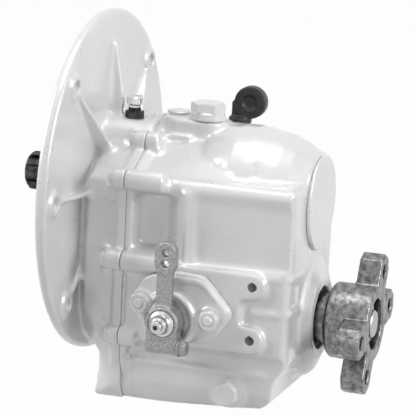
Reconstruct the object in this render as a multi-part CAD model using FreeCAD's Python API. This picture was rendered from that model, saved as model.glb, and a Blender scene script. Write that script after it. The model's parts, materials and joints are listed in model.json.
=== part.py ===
"""Small marine reversing gearbox with a side shift lever.

Frame: millimetres. X runs aft along the shafts, from the engine flange to the output
coupling. The shift lever is on the -Y side. Z is up. The origin is the centre of the engine
flange's front face, on the input shaft's axis.

The input shaft carries two pinions. The forward pinion drives the forward gear directly and
the reverse pinion drives the reverse gear through an idler, so the two gears turn opposite
ways. Both run loose on the output shaft below. A plate clutch beside each gear locks it to
the shaft when the shift sleeve between the two packs is pushed towards it.
"""
import FreeCAD, Part
import math
import os
from FreeCAD import Vector

# Fits and clearances
FAR = 250.0             # reach of a cutting tool that passes right through a part
RUN_FIT = 0.05          # radial gap of a shaft that turns or slides in its bore
SEAT_FIT = 0.02         # radial gap left in the model at a pressed or bolted seat
FACE_GAP = 0.3          # axial gap between parts that move past each other

# Shaft layout
CENTRE_DISTANCE = 84.0  # input axis above output axis
OUT_Z = -CENTRE_DISTANCE
SHIFT_X = 86.5          # middle of the shift sleeve, and axis of the shift shaft
SHIFT_Z = -79.0

# Engine flange
FLANGE_R = 125.0
FLANGE_T = 8.0
FLANGE_EDGE_R = 3.0
FLANGE_PCD = 221.0
FLANGE_HOLE_R = 5.25
FLANGE_HOLE_ANGLES = (45.0, 90.0, 135.0, 225.0, 270.0, 315.0)
FLANGE_BOSS_R = 10.0
FLANGE_BOSS_H = 3.0
FLANGE_RIB_T = 3.2
FLANGE_RIB_ROOT_R = 34.0
FLANGE_RIB_H = 15.0

# Casing
JOINT_X = 47.0
GASKET_T = 0.5
LIP_T = 7.0             # thickness of the joint flange on the front half
REAR_LIP_T = 5.0
CASE_END_X = 169.5
CASE_SHOULDER_Z = 18.0
CASE_FLOOR_Z = -147.0
CASE_LIP_OUT = 2.5      # joint flange stands proud of the walls
CAVITY_FRONT_X = 37.0
CAVITY_END_X = 137.0
CAVITY_GEAR_R = 59.5    # round the output shaft
CASE_WALL = 6.5
CASE_HALF_Y = CAVITY_GEAR_R + CASE_WALL
CAVITY_PINION_R = 33.5  # round the input shaft, under the sloping roof
CAVITY_BARREL_R = 38.0  # round the forward pinion
CAVITY_IDLER_R = 29.5
CAVITY_HALF_Y = 50.0
ROOF_CREST_Z = 49.0
ROOF_CREST_Y0 = 4.0
ROOF_CREST_Y1 = 20.0
ROOF_EAVE_Y = 53.0
ROOF_EAVE_Z = 19.5
NEAR_CORNER_R = 12.0
FAR_CORNER_R = 40.0
BARREL_R = 51.0
BARREL_X0 = 112.0
BARREL_X1 = 146.0
BARREL_END_R = 37.5
PILLAR_X = 91.0
PILLAR_R = 4.5
ROOF_SLOT_Y0 = -21.6
ROOF_SLOT_Y1 = -17.6
ROOF_SLOT_Z = 33.2
SUMP_HALF_Y = CASE_HALF_Y - 6.0
SUMP_WALL_Y = CASE_HALF_Y - 4.0     # rear sump wall, set in below the side pad
SUMP_TOP_Z = -101.5
SUMP_BEND_Z = -131.0
SUMP_EDGE_Y = CASE_HALF_Y - 9.0     # lower edge of the rear sump
SUMP_RIDGE_Z = -116.0
SUMP_RIDGE_T = 2.4
SUMP_RIDGE_OUT = 2.5
SUMP_FRONT_X = 26.0
FOOT_HALF_Y = 18.0      # flat strip under the sump that the gearbox stands on
SUMP_LEDGE_Z = -114.0
SUMP_STEP_Z = -129.0
IDLER_BULGE_R = 35.0
IDLER_BULGE_X1 = 84.0
NECK_HALF_Y = 53.0
NECK_X = 11.0
SHOULDER_X = 17.0
SHOULDER_IN = 3.5       # how far the shoulder stands inside the joint's outline

# Side pad, its tapped ears and the shift cover
PAD_Y = -CASE_HALF_Y - 6.0
PAD_X0 = 51.0
PAD_TOP_Z = -42.0
PAD_LOW_Z = -99.5
PAD_NOTCH_X = 136.0
EAR_R = 9.5
EAR_HOLE_R = 3.4
EAR_HOLE_DEPTH = 16.0
EAR_X = 144.0
EAR_TOP_Z = -51.0
EAR_LOW_Z = -89.5
CORNER_LEDGES_Z = (-46.5, -72.0)
CORNER_LEDGE_T = 3.0
CORNER_LEDGE_OUT = 1.6
COVER_T = 6.5
COVER_CLEAR = 1.0       # gap between the cover's edge and anything beside it
COVER_BOSS_R = 20.0
COVER_BOSS_H = 3.0
COVER_RECESS_R = 16.6
COVER_RECESS_D = 2.4
COVER_SPIGOT_R = 15.0
COVER_SPIGOT_END_Y = -57.0
COVER_STUDS = ((65.6, -68.8), (117.2, -75.4))
NUT_SEAT_H = 1.2        # raised seat under each cover nut
COVER_NUT_H = 6.0
NUT_SEAT_R = 8.6
NUT_COLLAR_R = 8.0
STUD_R = 4.0

# Shift shaft, lever and shoe
SHIFT_SHAFT_R = 9.25
SHIFT_SHAFT_END_Y = PAD_Y - 25.0
NIPPLE_R = 4.2
NIPPLE_HOLE_R = 1.75
NIPPLE_END_Y = SHIFT_SHAFT_END_Y - 11.0
ECCENTRIC = 3.0
ECCENTRIC_PIN_R = 3.0
PIN_PLAY = 0.15         # gap each side of the eccentric pin in the shoe
LEVER_HUB_R = 12.2
LEVER_HUB_Y0 = SHIFT_SHAFT_END_Y + 1.0
LEVER_HUB_L = 15.0
LEVER_ARM_W = 11.5
LEVER_ARM_T = 5.8
LEVER_ARM_BACK_Y = PAD_Y - 15.4
LEVER_EYE_W = 15.7
LEVER_EYE_TOP_Z = -21.0
LEVER_EYE_LOW_Z = -44.6
LEVER_EYE_T = 7.2
LEVER_HOLE_R = 2.65
LEVER_HOLES_Z = (-29.0, -36.6)
CLAMP_Z = -96.0
CLAMP_EAR_R = 5.6
CLAMP_HALF_X = 11.5
CLAMP_SLOT_W = 1.6
CLAMP_BOLT_R = 3.0

# Gears
MODULE = 3.0
PRESSURE_ANGLE = math.radians(20.0)
BACKLASH = 0.16
FORWARD_PINION_TEETH = 20
FORWARD_GEAR_TEETH = 36
REVERSE_PINION_TEETH = 18
IDLER_TEETH = 16
REVERSE_GEAR_TEETH = 32
REVERSE_X0 = 44.0
REVERSE_W = 16.0
FORWARD_X0 = 113.0
FORWARD_W = 18.0

# Shafts
SPLINE_R = 14.25
SPLINE_ROOT_R = 11.8
SPLINE_TEETH = 10
SPLINE_TIP_X = -53.0
SPLINE_END_X = -16.0
JOURNAL_R = 15.0
BODY_R = 17.0
GEAR_BORE_R = BODY_R + 3.0
INPUT_WAIST_R = 19.0
INPUT_REAR_R = 12.5
FRONT_BEARING_X = 17.0
FRONT_BEARING_R = 31.0
BEARING_W = 16.0
INPUT_REAR_BEARING_X = 138.0
INPUT_REAR_BEARING_R = 26.0
INPUT_REAR_BEARING_W = 15.0
OUTPUT_REAR_BEARING_X = 140.0
ROLLERS = 9
SEAL_X = 4.0
SEAL_W = 8.0
SEAL_R = 24.0

# Clutches
HUB_R = 28.0
HUB_KEY_H = 2.6
HUB_KEY_W = 8.0
HUB_KEYS = 6
DISC_T = 2.0
DISC_PAIRS = 3
DISC_GAP = 0.12
DISC_IN_R = 31.0
DISC_OUT_R = 42.0
DRUM_R = 48.0
DRUM_BORE_R = 43.0
DRUM_SLOT_D = 2.4
DRUM_SLOT_W = 12.0
DRUM_MOUTH = 19.0       # the drums open this far from the middle of the shift sleeve
PLATE_T = 4.0
SLEEVE_W = 12.0
SLEEVE_R = 40.0
SLEEVE_GROOVE_R = 34.0
SLEEVE_GROOVE_W = 6.4
SLEEVE_TRAVEL_GAP = 1.75
SHAFT_INNER_Y = -DRUM_R - 3.0       # inner end of the shift shaft
PIN_END_Y = -DISC_OUT_R - 2.0
SHOE_HEAD_Y = -DRUM_R - 2.0
SHOE_FACE_Y = -DISC_OUT_R - 1.0     # the shoe's head stays clear of the discs
SHOE_TIP_Y = -SLEEVE_GROOVE_R - 2.0

# Output coupling
COUPLING_X = 217.0
COUPLING_BACK_X = 184.0
COUPLING_HUB_R = 27.5
COUPLING_JOURNAL_R = 18.0
COUPLING_RECESS_R = 18.5
COUPLING_RECESS_D = 13.0
COUPLING_PCD = 78.0
COUPLING_LUG_ANGLES = (25.0, 82.0, 205.0, 262.0)
COUPLING_LUG_W = 23.0
COUPLING_LUG_T = 17.0
COUPLING_LUG_R = 51.0
COUPLING_HOLE_R = 5.25
COUPLING_SPLINE_R = 13.0
OUTPUT_SEAL_R = 23.0
OUTPUT_SEAL_X = 166.0
OUTPUT_BOSS_R = 43.0
OUTPUT_BOSS_END_R = 29.0
OUTPUT_BOSS_END_X = 177.0
NUT_R = 14.0
NUT_H = 9.0
NUT_THREAD_R = 10.0

# Rear cap, top fittings and sump fittings
CAP_R = 34.5
CAP_T = 3.0
CAP_SPIGOT_L = 8.0
FILLER_X = 82.5
FILLER_Y = 0.0
FILLER_PAD_Z = 52.0
FILLER_HOLE_R = 9.0
FILLER_HEAD_R = 13.0
BLANK_X = 57.0
BLANK_Y = 14.0
BREATHER_X = 26.5
BREATHER_SEAT_Z = 47.0
DIPSTICK_X = 93.0
DIPSTICK_Y = 46.0
DIPSTICK_SEAT_Z = 43.0
DIPSTICK_TIP_Z = -118.0
DIPSTICK_R = 2.0
DIPSTICK_DISC_R = 12.0
DIPSTICK_DISC_DX = 7.8  # disc centre aft of the rod
DIPSTICK_DISC_DZ = 16.5
DRAIN_X = 128.0
DRAIN_Z = -131.0
DRAIN_FACE_Y = -SUMP_HALF_Y - 3.0
DRAIN_AF = 15.0
DRAIN_HEAD_H = 6.5
DRAIN_WASHER_R = 9.8
DRAIN_WASHER_T = 1.5
DRAIN_SPOT_R = 10.6     # machined face under the drain washer
DRAIN_THREAD_R = 6.0

# Casing bolts, as places in the joint plane with how far each boss runs fore and aft
BOLT_R = 4.0
BOLT_HEAD_R = 5.6
BOLT_HEAD_H = 4.0
BOLT_SOCKET_AF = 5.0
BOLT_SINK = 4.6         # depth of the recess that hides each bolt head
BOLT_BOSS_R = 7.5
NUT_AF = 13.0
CASE_BOLTS = (
    (-CASE_HALF_Y - 3.0, 15.5, 39.0, 76.0),
    (-CASE_HALF_Y - 4.0, -43.0, 36.0, 82.0),
    (-CASE_HALF_Y - 2.0, -98.0, 40.0, 60.0),
    (-SUMP_HALF_Y + 9.0, -138.5, 31.0, 60.0),
    (-27.5, 36.0, 39.0, 57.0),
    (45.0, 31.0, 39.0, 60.0),
    (CASE_HALF_Y, 9.0, 39.0, 62.0),
    (CASE_HALF_Y + 8.5, -49.0, 39.0, 62.0),
    (CASE_HALF_Y + 1.0, -98.0, 40.0, 60.0),
    (SUMP_HALF_Y - 9.0, -138.5, 31.0, 60.0),
)
BOLT_END_WALL = 4.0
BOLT_REACH = 19.0
BOLT_RECESS_R = BOLT_HEAD_R + 0.3
BOLT_SPOT_R = 8.0       # clear space in front of each boss
DOWELS = ((-CASE_HALF_Y + 6.0, -60.0), (SUMP_HALF_Y - 3.5, -121.0))
DOWEL_DEPTH = 5.0       # each way from the joint
DOWEL_R = 3.0

X_AXIS = Vector(1, 0, 0)
Y_AXIS = Vector(0, 1, 0)
Z_AXIS = Vector(0, 0, 1)


def idler_place():
    """Centre of the idler, in mesh with the reverse pinion and the reverse gear."""
    to_input = MODULE * (REVERSE_PINION_TEETH + IDLER_TEETH) / 2
    to_output = MODULE * (REVERSE_GEAR_TEETH + IDLER_TEETH) / 2
    drop = (to_input ** 2 - to_output ** 2 + CENTRE_DISTANCE ** 2) / (2 * CENTRE_DISTANCE)
    return math.sqrt(to_input ** 2 - drop ** 2), -drop


IDLER_Y, IDLER_Z = idler_place()


def cyl(radius, start, axis, length):
    """Cylinder from a start point along an axis."""
    return Part.makeCylinder(radius, length, start, axis)


def cyl_x(radius, x0, x1, y=0.0, z=0.0):
    return cyl(radius, Vector(x0, y, z), X_AXIS, x1 - x0)


def cyl_y(radius, y0, y1, x, z):
    return cyl(radius, Vector(x, y0, z), Y_AXIS, y1 - y0)


def cyl_z(radius, z0, z1, x, y):
    return cyl(radius, Vector(x, y, z0), Z_AXIS, z1 - z0)


def tube_x(outer, inner, x0, x1, y=0.0, z=0.0):
    return cyl_x(outer, x0, x1, y, z).cut(cyl_x(inner, x0, x1, y, z))


def block(x0, x1, y0, y1, z0, z1):
    return Part.makeBox(x1 - x0, y1 - y0, z1 - z0, Vector(x0, y0, z0))


def lathe(profile, origin, axis, radial):
    """Solid of revolution from (distance along the axis, radius) pairs."""
    points = [origin + axis * along + radial * radius for along, radius in profile]
    face = Part.Face(Part.makePolygon(points + points[:1]))
    return face.revolve(origin, axis, 360)


def lathe_x(profile, y=0.0, z=0.0):
    return lathe(profile, Vector(0, y, z), X_AXIS, Z_AXIS)


def lathe_y(profile, x, z):
    return lathe(profile, Vector(x, 0, z), Y_AXIS, Z_AXIS)


def lathe_z(profile, x, y):
    return lathe(profile, Vector(x, y, 0), Z_AXIS, X_AXIS)


def rounded_wire(corners, place):
    """Closed outline through (u, v, corner radius) points; place puts (u, v) in space."""
    count = len(corners)
    edges = []
    joints = []
    for i in range(count):
        u, v, radius = corners[i]
        here = Vector(u, v, 0)
        before = Vector(corners[i - 1][0], corners[i - 1][1], 0) - here
        after = Vector(corners[(i + 1) % count][0], corners[(i + 1) % count][1], 0) - here
        before.normalize()
        after.normalize()
        half = before.getAngle(after) / 2
        back = radius / math.tan(half)
        bisector = before + after
        if radius > 0:
            bisector.normalize()
            centre = here + bisector * (radius / math.sin(half))
            joints.append((here + before * back, centre - bisector * radius, here + after * back))
        else:
            joints.append((here, None, here))
    for i in range(count):
        first, middle, last = joints[i]
        start = joints[(i + 1) % count][0]
        if middle is not None:
            arc = [place(p.x, p.y) for p in (first, middle, last)]
            edges.append(Part.Arc(*arc).toShape())
        if last.distanceToPoint(start) > 1e-4:
            edges.append(Part.makeLine(place(last.x, last.y), place(start.x, start.y)))
    return Part.Wire(edges)


def section_x(corners, x):
    return rounded_wire(corners, lambda u, v: Vector(x, u, v))


def prism_x(corners, x0, x1):
    """Outline in Y and Z, extruded along X."""
    return Part.Face(section_x(corners, x0)).extrude(X_AXIS * (x1 - x0))


def prism_y(corners, y0, y1):
    """Outline in X and Z, extruded along Y."""
    wire = rounded_wire(corners, lambda u, v: Vector(u, y0, v))
    return Part.Face(wire).extrude(Y_AXIS * (y1 - y0))


def prism_z(corners, z0, z1):
    """Outline in X and Y, extruded along Z."""
    wire = rounded_wire(corners, lambda u, v: Vector(u, v, z0))
    return Part.Face(wire).extrude(Z_AXIS * (z1 - z0))


def fuse(shapes):
    return shapes[0].multiFuse(shapes[1:]).removeSplitter()


def cut(shape, tools):
    return shape.cut(fuse(tools) if len(tools) > 1 else tools[0])


def hexagon(across_flats, turn=0.0):
    """Corners of a hexagon as (u, v, 0) for the outline functions."""
    radius = across_flats / math.sqrt(3)
    angles = [math.radians(turn + 60 * i) for i in range(6)]
    return [(radius * math.cos(a), radius * math.sin(a), 0.0) for a in angles]


def shifted(corners, du, dv):
    return [(u + du, v + dv, radius) for u, v, radius in corners]


def save(node, shapes):
    """Write one node; several solids go into one compound."""
    shape = shapes[0] if len(shapes) == 1 else Part.Compound(shapes)
    shape.exportStep("parts/" + node + ".step")


def involute(angle):
    return math.tan(angle) - angle


def tooth_half_angle(teeth, radius):
    """Half the angle that one tooth takes up at a radius."""
    pitch_r = MODULE * teeth / 2
    base_r = pitch_r * math.cos(PRESSURE_ANGLE)
    local = math.acos(min(1.0, base_r / max(radius, base_r)))
    half = math.pi / (2 * teeth) - BACKLASH / (2 * pitch_r)
    return half + involute(PRESSURE_ANGLE) - involute(local)


def gear_outline(teeth, phase):
    """Tooth outline with a tooth centred on the phase angle, in radians from +Y to +Z."""
    pitch_r = MODULE * teeth / 2
    radii = (pitch_r - 1.25 * MODULE, pitch_r - 0.4 * MODULE, pitch_r + 0.35 * MODULE, pitch_r + MODULE)
    outline = []
    for tooth in range(teeth):
        middle = phase + 2 * math.pi * tooth / teeth
        halves = [tooth_half_angle(teeth, radius) for radius in radii]
        flank = [(radius, -half) for radius, half in zip(radii, halves)]
        flank += [(radius, half) for radius, half in zip(reversed(radii), reversed(halves))]
        for radius, offset in flank:
            outline.append((radius * math.cos(middle + offset), radius * math.sin(middle + offset), 0.0))
    return outline


def gear_blank(teeth, phase, x0, width, y=0.0, z=0.0):
    return prism_x(shifted(gear_outline(teeth, phase), y, z), x0, x0 + width)


def mesh_phase(teeth, phase, direction, other_teeth):
    """Phase of a gear that meshes with one at the given direction from the first."""
    offset = (phase - direction) * teeth / other_teeth
    return direction + math.pi - offset + math.pi / other_teeth


def keyed_outline(radius, key_height, key_width, keys, turn=0.0):
    """Round shaft outline with straight-sided keys, coarse where it is round."""
    outline = []
    half = math.asin(key_width / 2 / radius)
    half_top = math.asin(key_width / 2 / (radius + key_height))
    for key in range(keys):
        middle = turn + 2 * math.pi * key / keys
        following = middle + 2 * math.pi / keys
        for reach, angle in ((radius, -half), (radius + key_height, -half_top)):
            outline.append((reach * math.cos(middle + angle), reach * math.sin(middle + angle), 0.0))
        for reach, angle in ((radius + key_height, half_top), (radius, half)):
            outline.append((reach * math.cos(middle + angle), reach * math.sin(middle + angle), 0.0))
        gap = following - half - (middle + half)
        steps = max(1, round(gap / 0.3))
        for step in range(1, steps):
            angle = middle + half + gap * step / steps
            outline.append((radius * math.cos(angle), radius * math.sin(angle), 0.0))
    return outline


def keyed_bar(radius, key_height, key_width, keys, x0, x1, z=0.0):
    return prism_x(shifted(keyed_outline(radius, key_height, key_width, keys), 0.0, z), x0, x1)


def joint_outline(grow):
    """Casing outline at the joint, grown outward by a distance, seen along X."""
    side = CASE_HALF_Y + grow
    eave = ROOF_EAVE_Y + grow * 0.5
    return [
        (-side, CASE_SHOULDER_Z - 4.0, 5.0),
        (-eave, ROOF_EAVE_Z + grow * 0.8, 14.0),
        (ROOF_CREST_Y0, ROOF_CREST_Z + grow * 0.6, 22.0),
        (ROOF_CREST_Y1, ROOF_CREST_Z + grow * 0.6, 22.0),
        (eave + 8.0, ROOF_EAVE_Z + grow * 0.8, 14.0),
        (side, CASE_SHOULDER_Z - 12.0, 5.0),
        (side, SUMP_LEDGE_Z, 3.0),
        (SUMP_HALF_Y + grow, SUMP_STEP_Z, 4.0),
        (SUMP_HALF_Y + grow, CASE_FLOOR_Z, 13.0),
        (-SUMP_HALF_Y - grow, CASE_FLOOR_Z, 13.0),
        (-SUMP_HALF_Y - grow, SUMP_STEP_Z, 4.0),
        (-side, SUMP_LEDGE_Z, 3.0),
    ]


def side_outline():
    """Side box of the rear casing below the roof, seen along X."""
    return [
        (-CASE_HALF_Y, CASE_SHOULDER_Z, 8.0),
        (CASE_HALF_Y, CASE_SHOULDER_Z, 8.0),
        (CASE_HALF_Y, SUMP_TOP_Z, 1.5),
        (SUMP_WALL_Y, SUMP_TOP_Z - 4.0, 3.0),
        (SUMP_WALL_Y, SUMP_BEND_Z, 3.0),
        (SUMP_EDGE_Y, CASE_FLOOR_Z, 6.0),
        (-SUMP_EDGE_Y, CASE_FLOOR_Z, 6.0),
        (-SUMP_WALL_Y, SUMP_BEND_Z, 3.0),
        (-SUMP_WALL_Y, SUMP_TOP_Z - 4.0, 3.0),
        (-CASE_HALF_Y, SUMP_TOP_Z, 1.5),
    ]


def rear_plan(grow=0.0):
    """Plan outline that rounds the upright rear corners."""
    return [
        (JOINT_X, -CASE_HALF_Y - 20.0, 0.0),
        (CASE_END_X + grow, -CASE_HALF_Y - 1.0, NEAR_CORNER_R),
        (CASE_END_X + grow, CASE_HALF_Y + 1.0, FAR_CORNER_R),
        (JOINT_X, CASE_HALF_Y + 20.0, 0.0),
    ]


def sump_ridge():
    """Thin ridge along the rear sump and round its rear end."""
    side = SUMP_WALL_Y + SUMP_RIDGE_OUT
    end = CASE_END_X - 4.5
    plan = [
        (JOINT_X + GASKET_T, -side, 0.0),
        (end, -side, 18.0),
        (end, side, FAR_CORNER_R),
        (JOINT_X + GASKET_T, side, 0.0),
    ]
    half = SUMP_RIDGE_T / 2
    return prism_z(plan, SUMP_RIDGE_Z - half, SUMP_RIDGE_Z + half)


def corner_ledges():
    """Two narrow ledges that carry the side pad's edges round the near rear corner."""
    side = -CASE_HALF_Y - CORNER_LEDGE_OUT
    end = CASE_END_X + CORNER_LEDGE_OUT
    plan = [(EAR_X, side, 0.0), (end, side, NEAR_CORNER_R), (end, -35.0, 0.0), (EAR_X, -35.0, 0.0)]
    return [prism_z(plan, z, z + CORNER_LEDGE_T) for z in CORNER_LEDGES_Z]


def rear_profile():
    """Side outline with the sump swept up under the output shaft."""
    return [
        (JOINT_X, CASE_SHOULDER_Z + 1.0, 0.0),
        (CASE_END_X, CASE_SHOULDER_Z + 1.0, 6.0),
        (CASE_END_X, -107.0, 8.0),
        (CASE_END_X - 9.0, -120.0, 8.0),
        (CASE_END_X - 11.0, -136.0, 8.0),
        (CASE_END_X - 22.0, CASE_FLOOR_Z + 3.0, 8.0),
        (120.0, CASE_FLOOR_Z, 20.0),
        (JOINT_X, CASE_FLOOR_Z, 0.0),
    ]


def roof():
    """Sloping roof over the front two thirds of the rear casing."""
    return prism_x([
        (-CASE_HALF_Y, CASE_SHOULDER_Z - 4.0, 6.0),
        (-ROOF_EAVE_Y, ROOF_EAVE_Z, 14.0),
        (ROOF_CREST_Y0, ROOF_CREST_Z, 22.0),
        (ROOF_CREST_Y1, ROOF_CREST_Z, 22.0),
        (ROOF_EAVE_Y + 8.0, ROOF_EAVE_Z, 14.0),
        (CASE_HALF_Y, CASE_SHOULDER_Z - 12.0, 5.0),
        (CASE_HALF_Y, -10.0, 0.0),
        (-CASE_HALF_Y, -10.0, 0.0),
    ], JOINT_X, BARREL_X0 + 4.0)


def barrel():
    """Round upper casing behind the roof, drawn in towards the rear cap."""
    return lathe_x([
        (BARREL_X0 - 20.0, 0.0),
        (BARREL_X0 - 20.0, BARREL_R - 6.0),
        (BARREL_X0, BARREL_R),
        (BARREL_X1 - 22.0, BARREL_R),
        (BARREL_X1, BARREL_R - 4.0),
        (BARREL_X1 + 10.0, BARREL_R - 8.0),
        (CASE_END_X - 4.0, BARREL_END_R),
        (CASE_END_X, BARREL_END_R - 1.5),
        (CASE_END_X, 0.0),
    ])


def output_boss():
    """Stepped cone round the output seal."""
    return lathe_x([
        (CASE_END_X - 20.0, 0.0),
        (CASE_END_X - 20.0, OUTPUT_BOSS_R + 2.0),
        (CASE_END_X - 1.0, OUTPUT_BOSS_R),
        (CASE_END_X + 2.5, OUTPUT_BOSS_R - 3.0),
        (OUTPUT_BOSS_END_X - 1.0, OUTPUT_BOSS_END_R + 1.0),
        (OUTPUT_BOSS_END_X, OUTPUT_BOSS_END_R),
        (OUTPUT_BOSS_END_X, 0.0),
    ], 0.0, OUT_Z)


def casing_cavity(x0, x1):
    """Space that the gear train turns in."""
    barrel_x = BARREL_X0 - 14.0
    idler_end = min(x1, REVERSE_X0 + REVERSE_W + 4.0)
    spaces = [
        cyl_x(CAVITY_GEAR_R, x0, x1, 0.0, OUT_Z),
        cyl_x(CAVITY_PINION_R, x0, x1),
        block(x0, x1, -CAVITY_HALF_Y, CAVITY_HALF_Y, OUT_Z, 0.0),
        cyl_x(CAVITY_IDLER_R, x0, idler_end, IDLER_Y, IDLER_Z),
    ]
    if x1 > barrel_x:
        spaces.append(cyl_x(CAVITY_BARREL_R, barrel_x, x1))
    return fuse(spaces)


def bolt_bosses(front):
    """Round bosses along the joint for the casing bolts."""
    bosses = []
    for y, z, x0, x1 in CASE_BOLTS:
        if front:
            bosses.append(cyl_x(BOLT_BOSS_R, x0 - BOLT_SINK, JOINT_X, y, z))
        else:
            bosses.append(cyl_x(BOLT_BOSS_R, JOINT_X + GASKET_T, x1, y, z))
    return bosses


def bolt_tip(boss_end):
    """Depth of a tapped hole in a boss that ends at boss_end."""
    return min(boss_end - BOLT_END_WALL, JOINT_X + BOLT_REACH)


def bolt_holes():
    holes = []
    for y, z, x0, x1 in CASE_BOLTS:
        holes.append(cyl_x(BOLT_R + RUN_FIT, x0 - 1.0, bolt_tip(x1), y, z))
        holes.append(cyl_x(BOLT_RECESS_R, x0 - BOLT_SINK - 1.0, x0, y, z))
        holes.append(cyl_x(BOLT_SPOT_R, x0 - BOLT_SINK - 6.0, x0 - BOLT_SINK, y, z))
    for y, z in DOWELS:
        holes.append(cyl_x(DOWEL_R + SEAT_FIT, JOINT_X - DOWEL_DEPTH, JOINT_X + DOWEL_DEPTH, y, z))
    return holes


def flange_disc():
    """Round engine flange with its rear edge rounded and a boss at every hole."""
    edge = FLANGE_EDGE_R
    disc = lathe_x([
        (0.0, 0.0),
        (0.0, FLANGE_R - 0.8),
        (0.8, FLANGE_R),
        (FLANGE_T - edge, FLANGE_R),
        (FLANGE_T - edge * 0.3, FLANGE_R - edge * 0.3),
        (FLANGE_T, FLANGE_R - edge),
        (FLANGE_T, 0.0),
    ])
    bosses = []
    for y, z in flange_places():
        bosses.append(Part.makeCone(FLANGE_BOSS_R, FLANGE_BOSS_R - 1.0, FLANGE_BOSS_H, Vector(FLANGE_T, y, z), X_AXIS))
    return [disc] + bosses


def flange_places():
    radius = FLANGE_PCD / 2
    places = []
    for angle in FLANGE_HOLE_ANGLES:
        turn = math.radians(angle)
        places.append((radius * math.sin(turn), radius * math.cos(turn)))
    return places


def flange_ribs():
    """Tapered ribs from the hub to the hole bosses, and one straight up."""
    reach = FLANGE_PCD / 2 - FLANGE_BOSS_R + 1.0
    ribs = []
    for angle in FLANGE_HOLE_ANGLES + (0.0,):
        rib = prism_y([
            (FLANGE_T - 1.0, FLANGE_RIB_ROOT_R, 0.0),
            (FLANGE_T + FLANGE_RIB_H, FLANGE_RIB_ROOT_R, 0.0),
            (FLANGE_T + FLANGE_RIB_H * 0.75, FLANGE_RIB_ROOT_R + 22.0, 18.0),
            (FLANGE_T + FLANGE_BOSS_H, reach, 0.0),
            (FLANGE_T - 1.0, reach, 0.0),
        ], -FLANGE_RIB_T / 2, FLANGE_RIB_T / 2)
        rib.rotate(Vector(0, 0, 0), X_AXIS, -angle)
        ribs.append(rib)
    return ribs


def shoulder_outline():
    """Section just behind the flange, where the casing already has nearly its full width."""
    side = CASE_HALF_Y - SHOULDER_IN
    lower = [
        (side, OUT_Z, 8.0),
        (side - 10.0, -104.0, 8.0),
        (side - 32.0, -118.0, 4.0),
        (-side + 32.0, -118.0, 4.0),
        (-side + 10.0, -104.0, 8.0),
        (-side, OUT_Z, 8.0),
    ]
    return joint_outline(-SHOULDER_IN)[:6] + lower


def neck():
    """Front casing, drawn in from the joint towards the flange."""
    narrow = [
        (-NECK_HALF_Y, -4.0, 12.0),
        (-34.0, 20.0, 12.0),
        (-4.0, 36.0, 16.0),
        (16.0, 36.0, 16.0),
        (44.0, 20.0, 12.0),
        (NECK_HALF_Y, -4.0, 12.0),
        (NECK_HALF_Y, -84.0, 8.0),
        (NECK_HALF_Y - 10.0, -104.0, 8.0),
        (NECK_HALF_Y - 29.0, -118.0, 4.0),
        (-NECK_HALF_Y + 29.0, -118.0, 4.0),
        (-NECK_HALF_Y + 10.0, -104.0, 8.0),
        (-NECK_HALF_Y, -84.0, 8.0),
    ]
    wires = [section_x(narrow, FLANGE_T - 1.0), section_x(narrow, NECK_X)]
    wires.append(section_x(shoulder_outline(), SHOULDER_X))
    wires.append(section_x(joint_outline(0.0), JOINT_X - LIP_T))
    return Part.makeLoft(wires, True, True)


def front_sump():
    """Oil sump half behind the flange, rounded towards the front."""
    body = prism_x([
        (-CASE_HALF_Y + 1.0, SUMP_LEDGE_Z + 14.0, 6.0),
        (CASE_HALF_Y - 1.0, SUMP_LEDGE_Z + 14.0, 6.0),
        (CASE_HALF_Y - 1.0, CASE_FLOOR_Z, 14.0),
        (-CASE_HALF_Y + 1.0, CASE_FLOOR_Z, 14.0),
    ], FLANGE_T, JOINT_X)
    plan = prism_z([
        (JOINT_X, -CASE_HALF_Y - 1.0, 0.0),
        (JOINT_X, CASE_HALF_Y + 1.0, 0.0),
        (SUMP_FRONT_X, CASE_HALF_Y - 6.0, 16.0),
        (SUMP_FRONT_X, -CASE_HALF_Y + 6.0, 16.0),
    ], CASE_FLOOR_Z - 1.0, OUT_Z)
    return body.common(plan)


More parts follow.
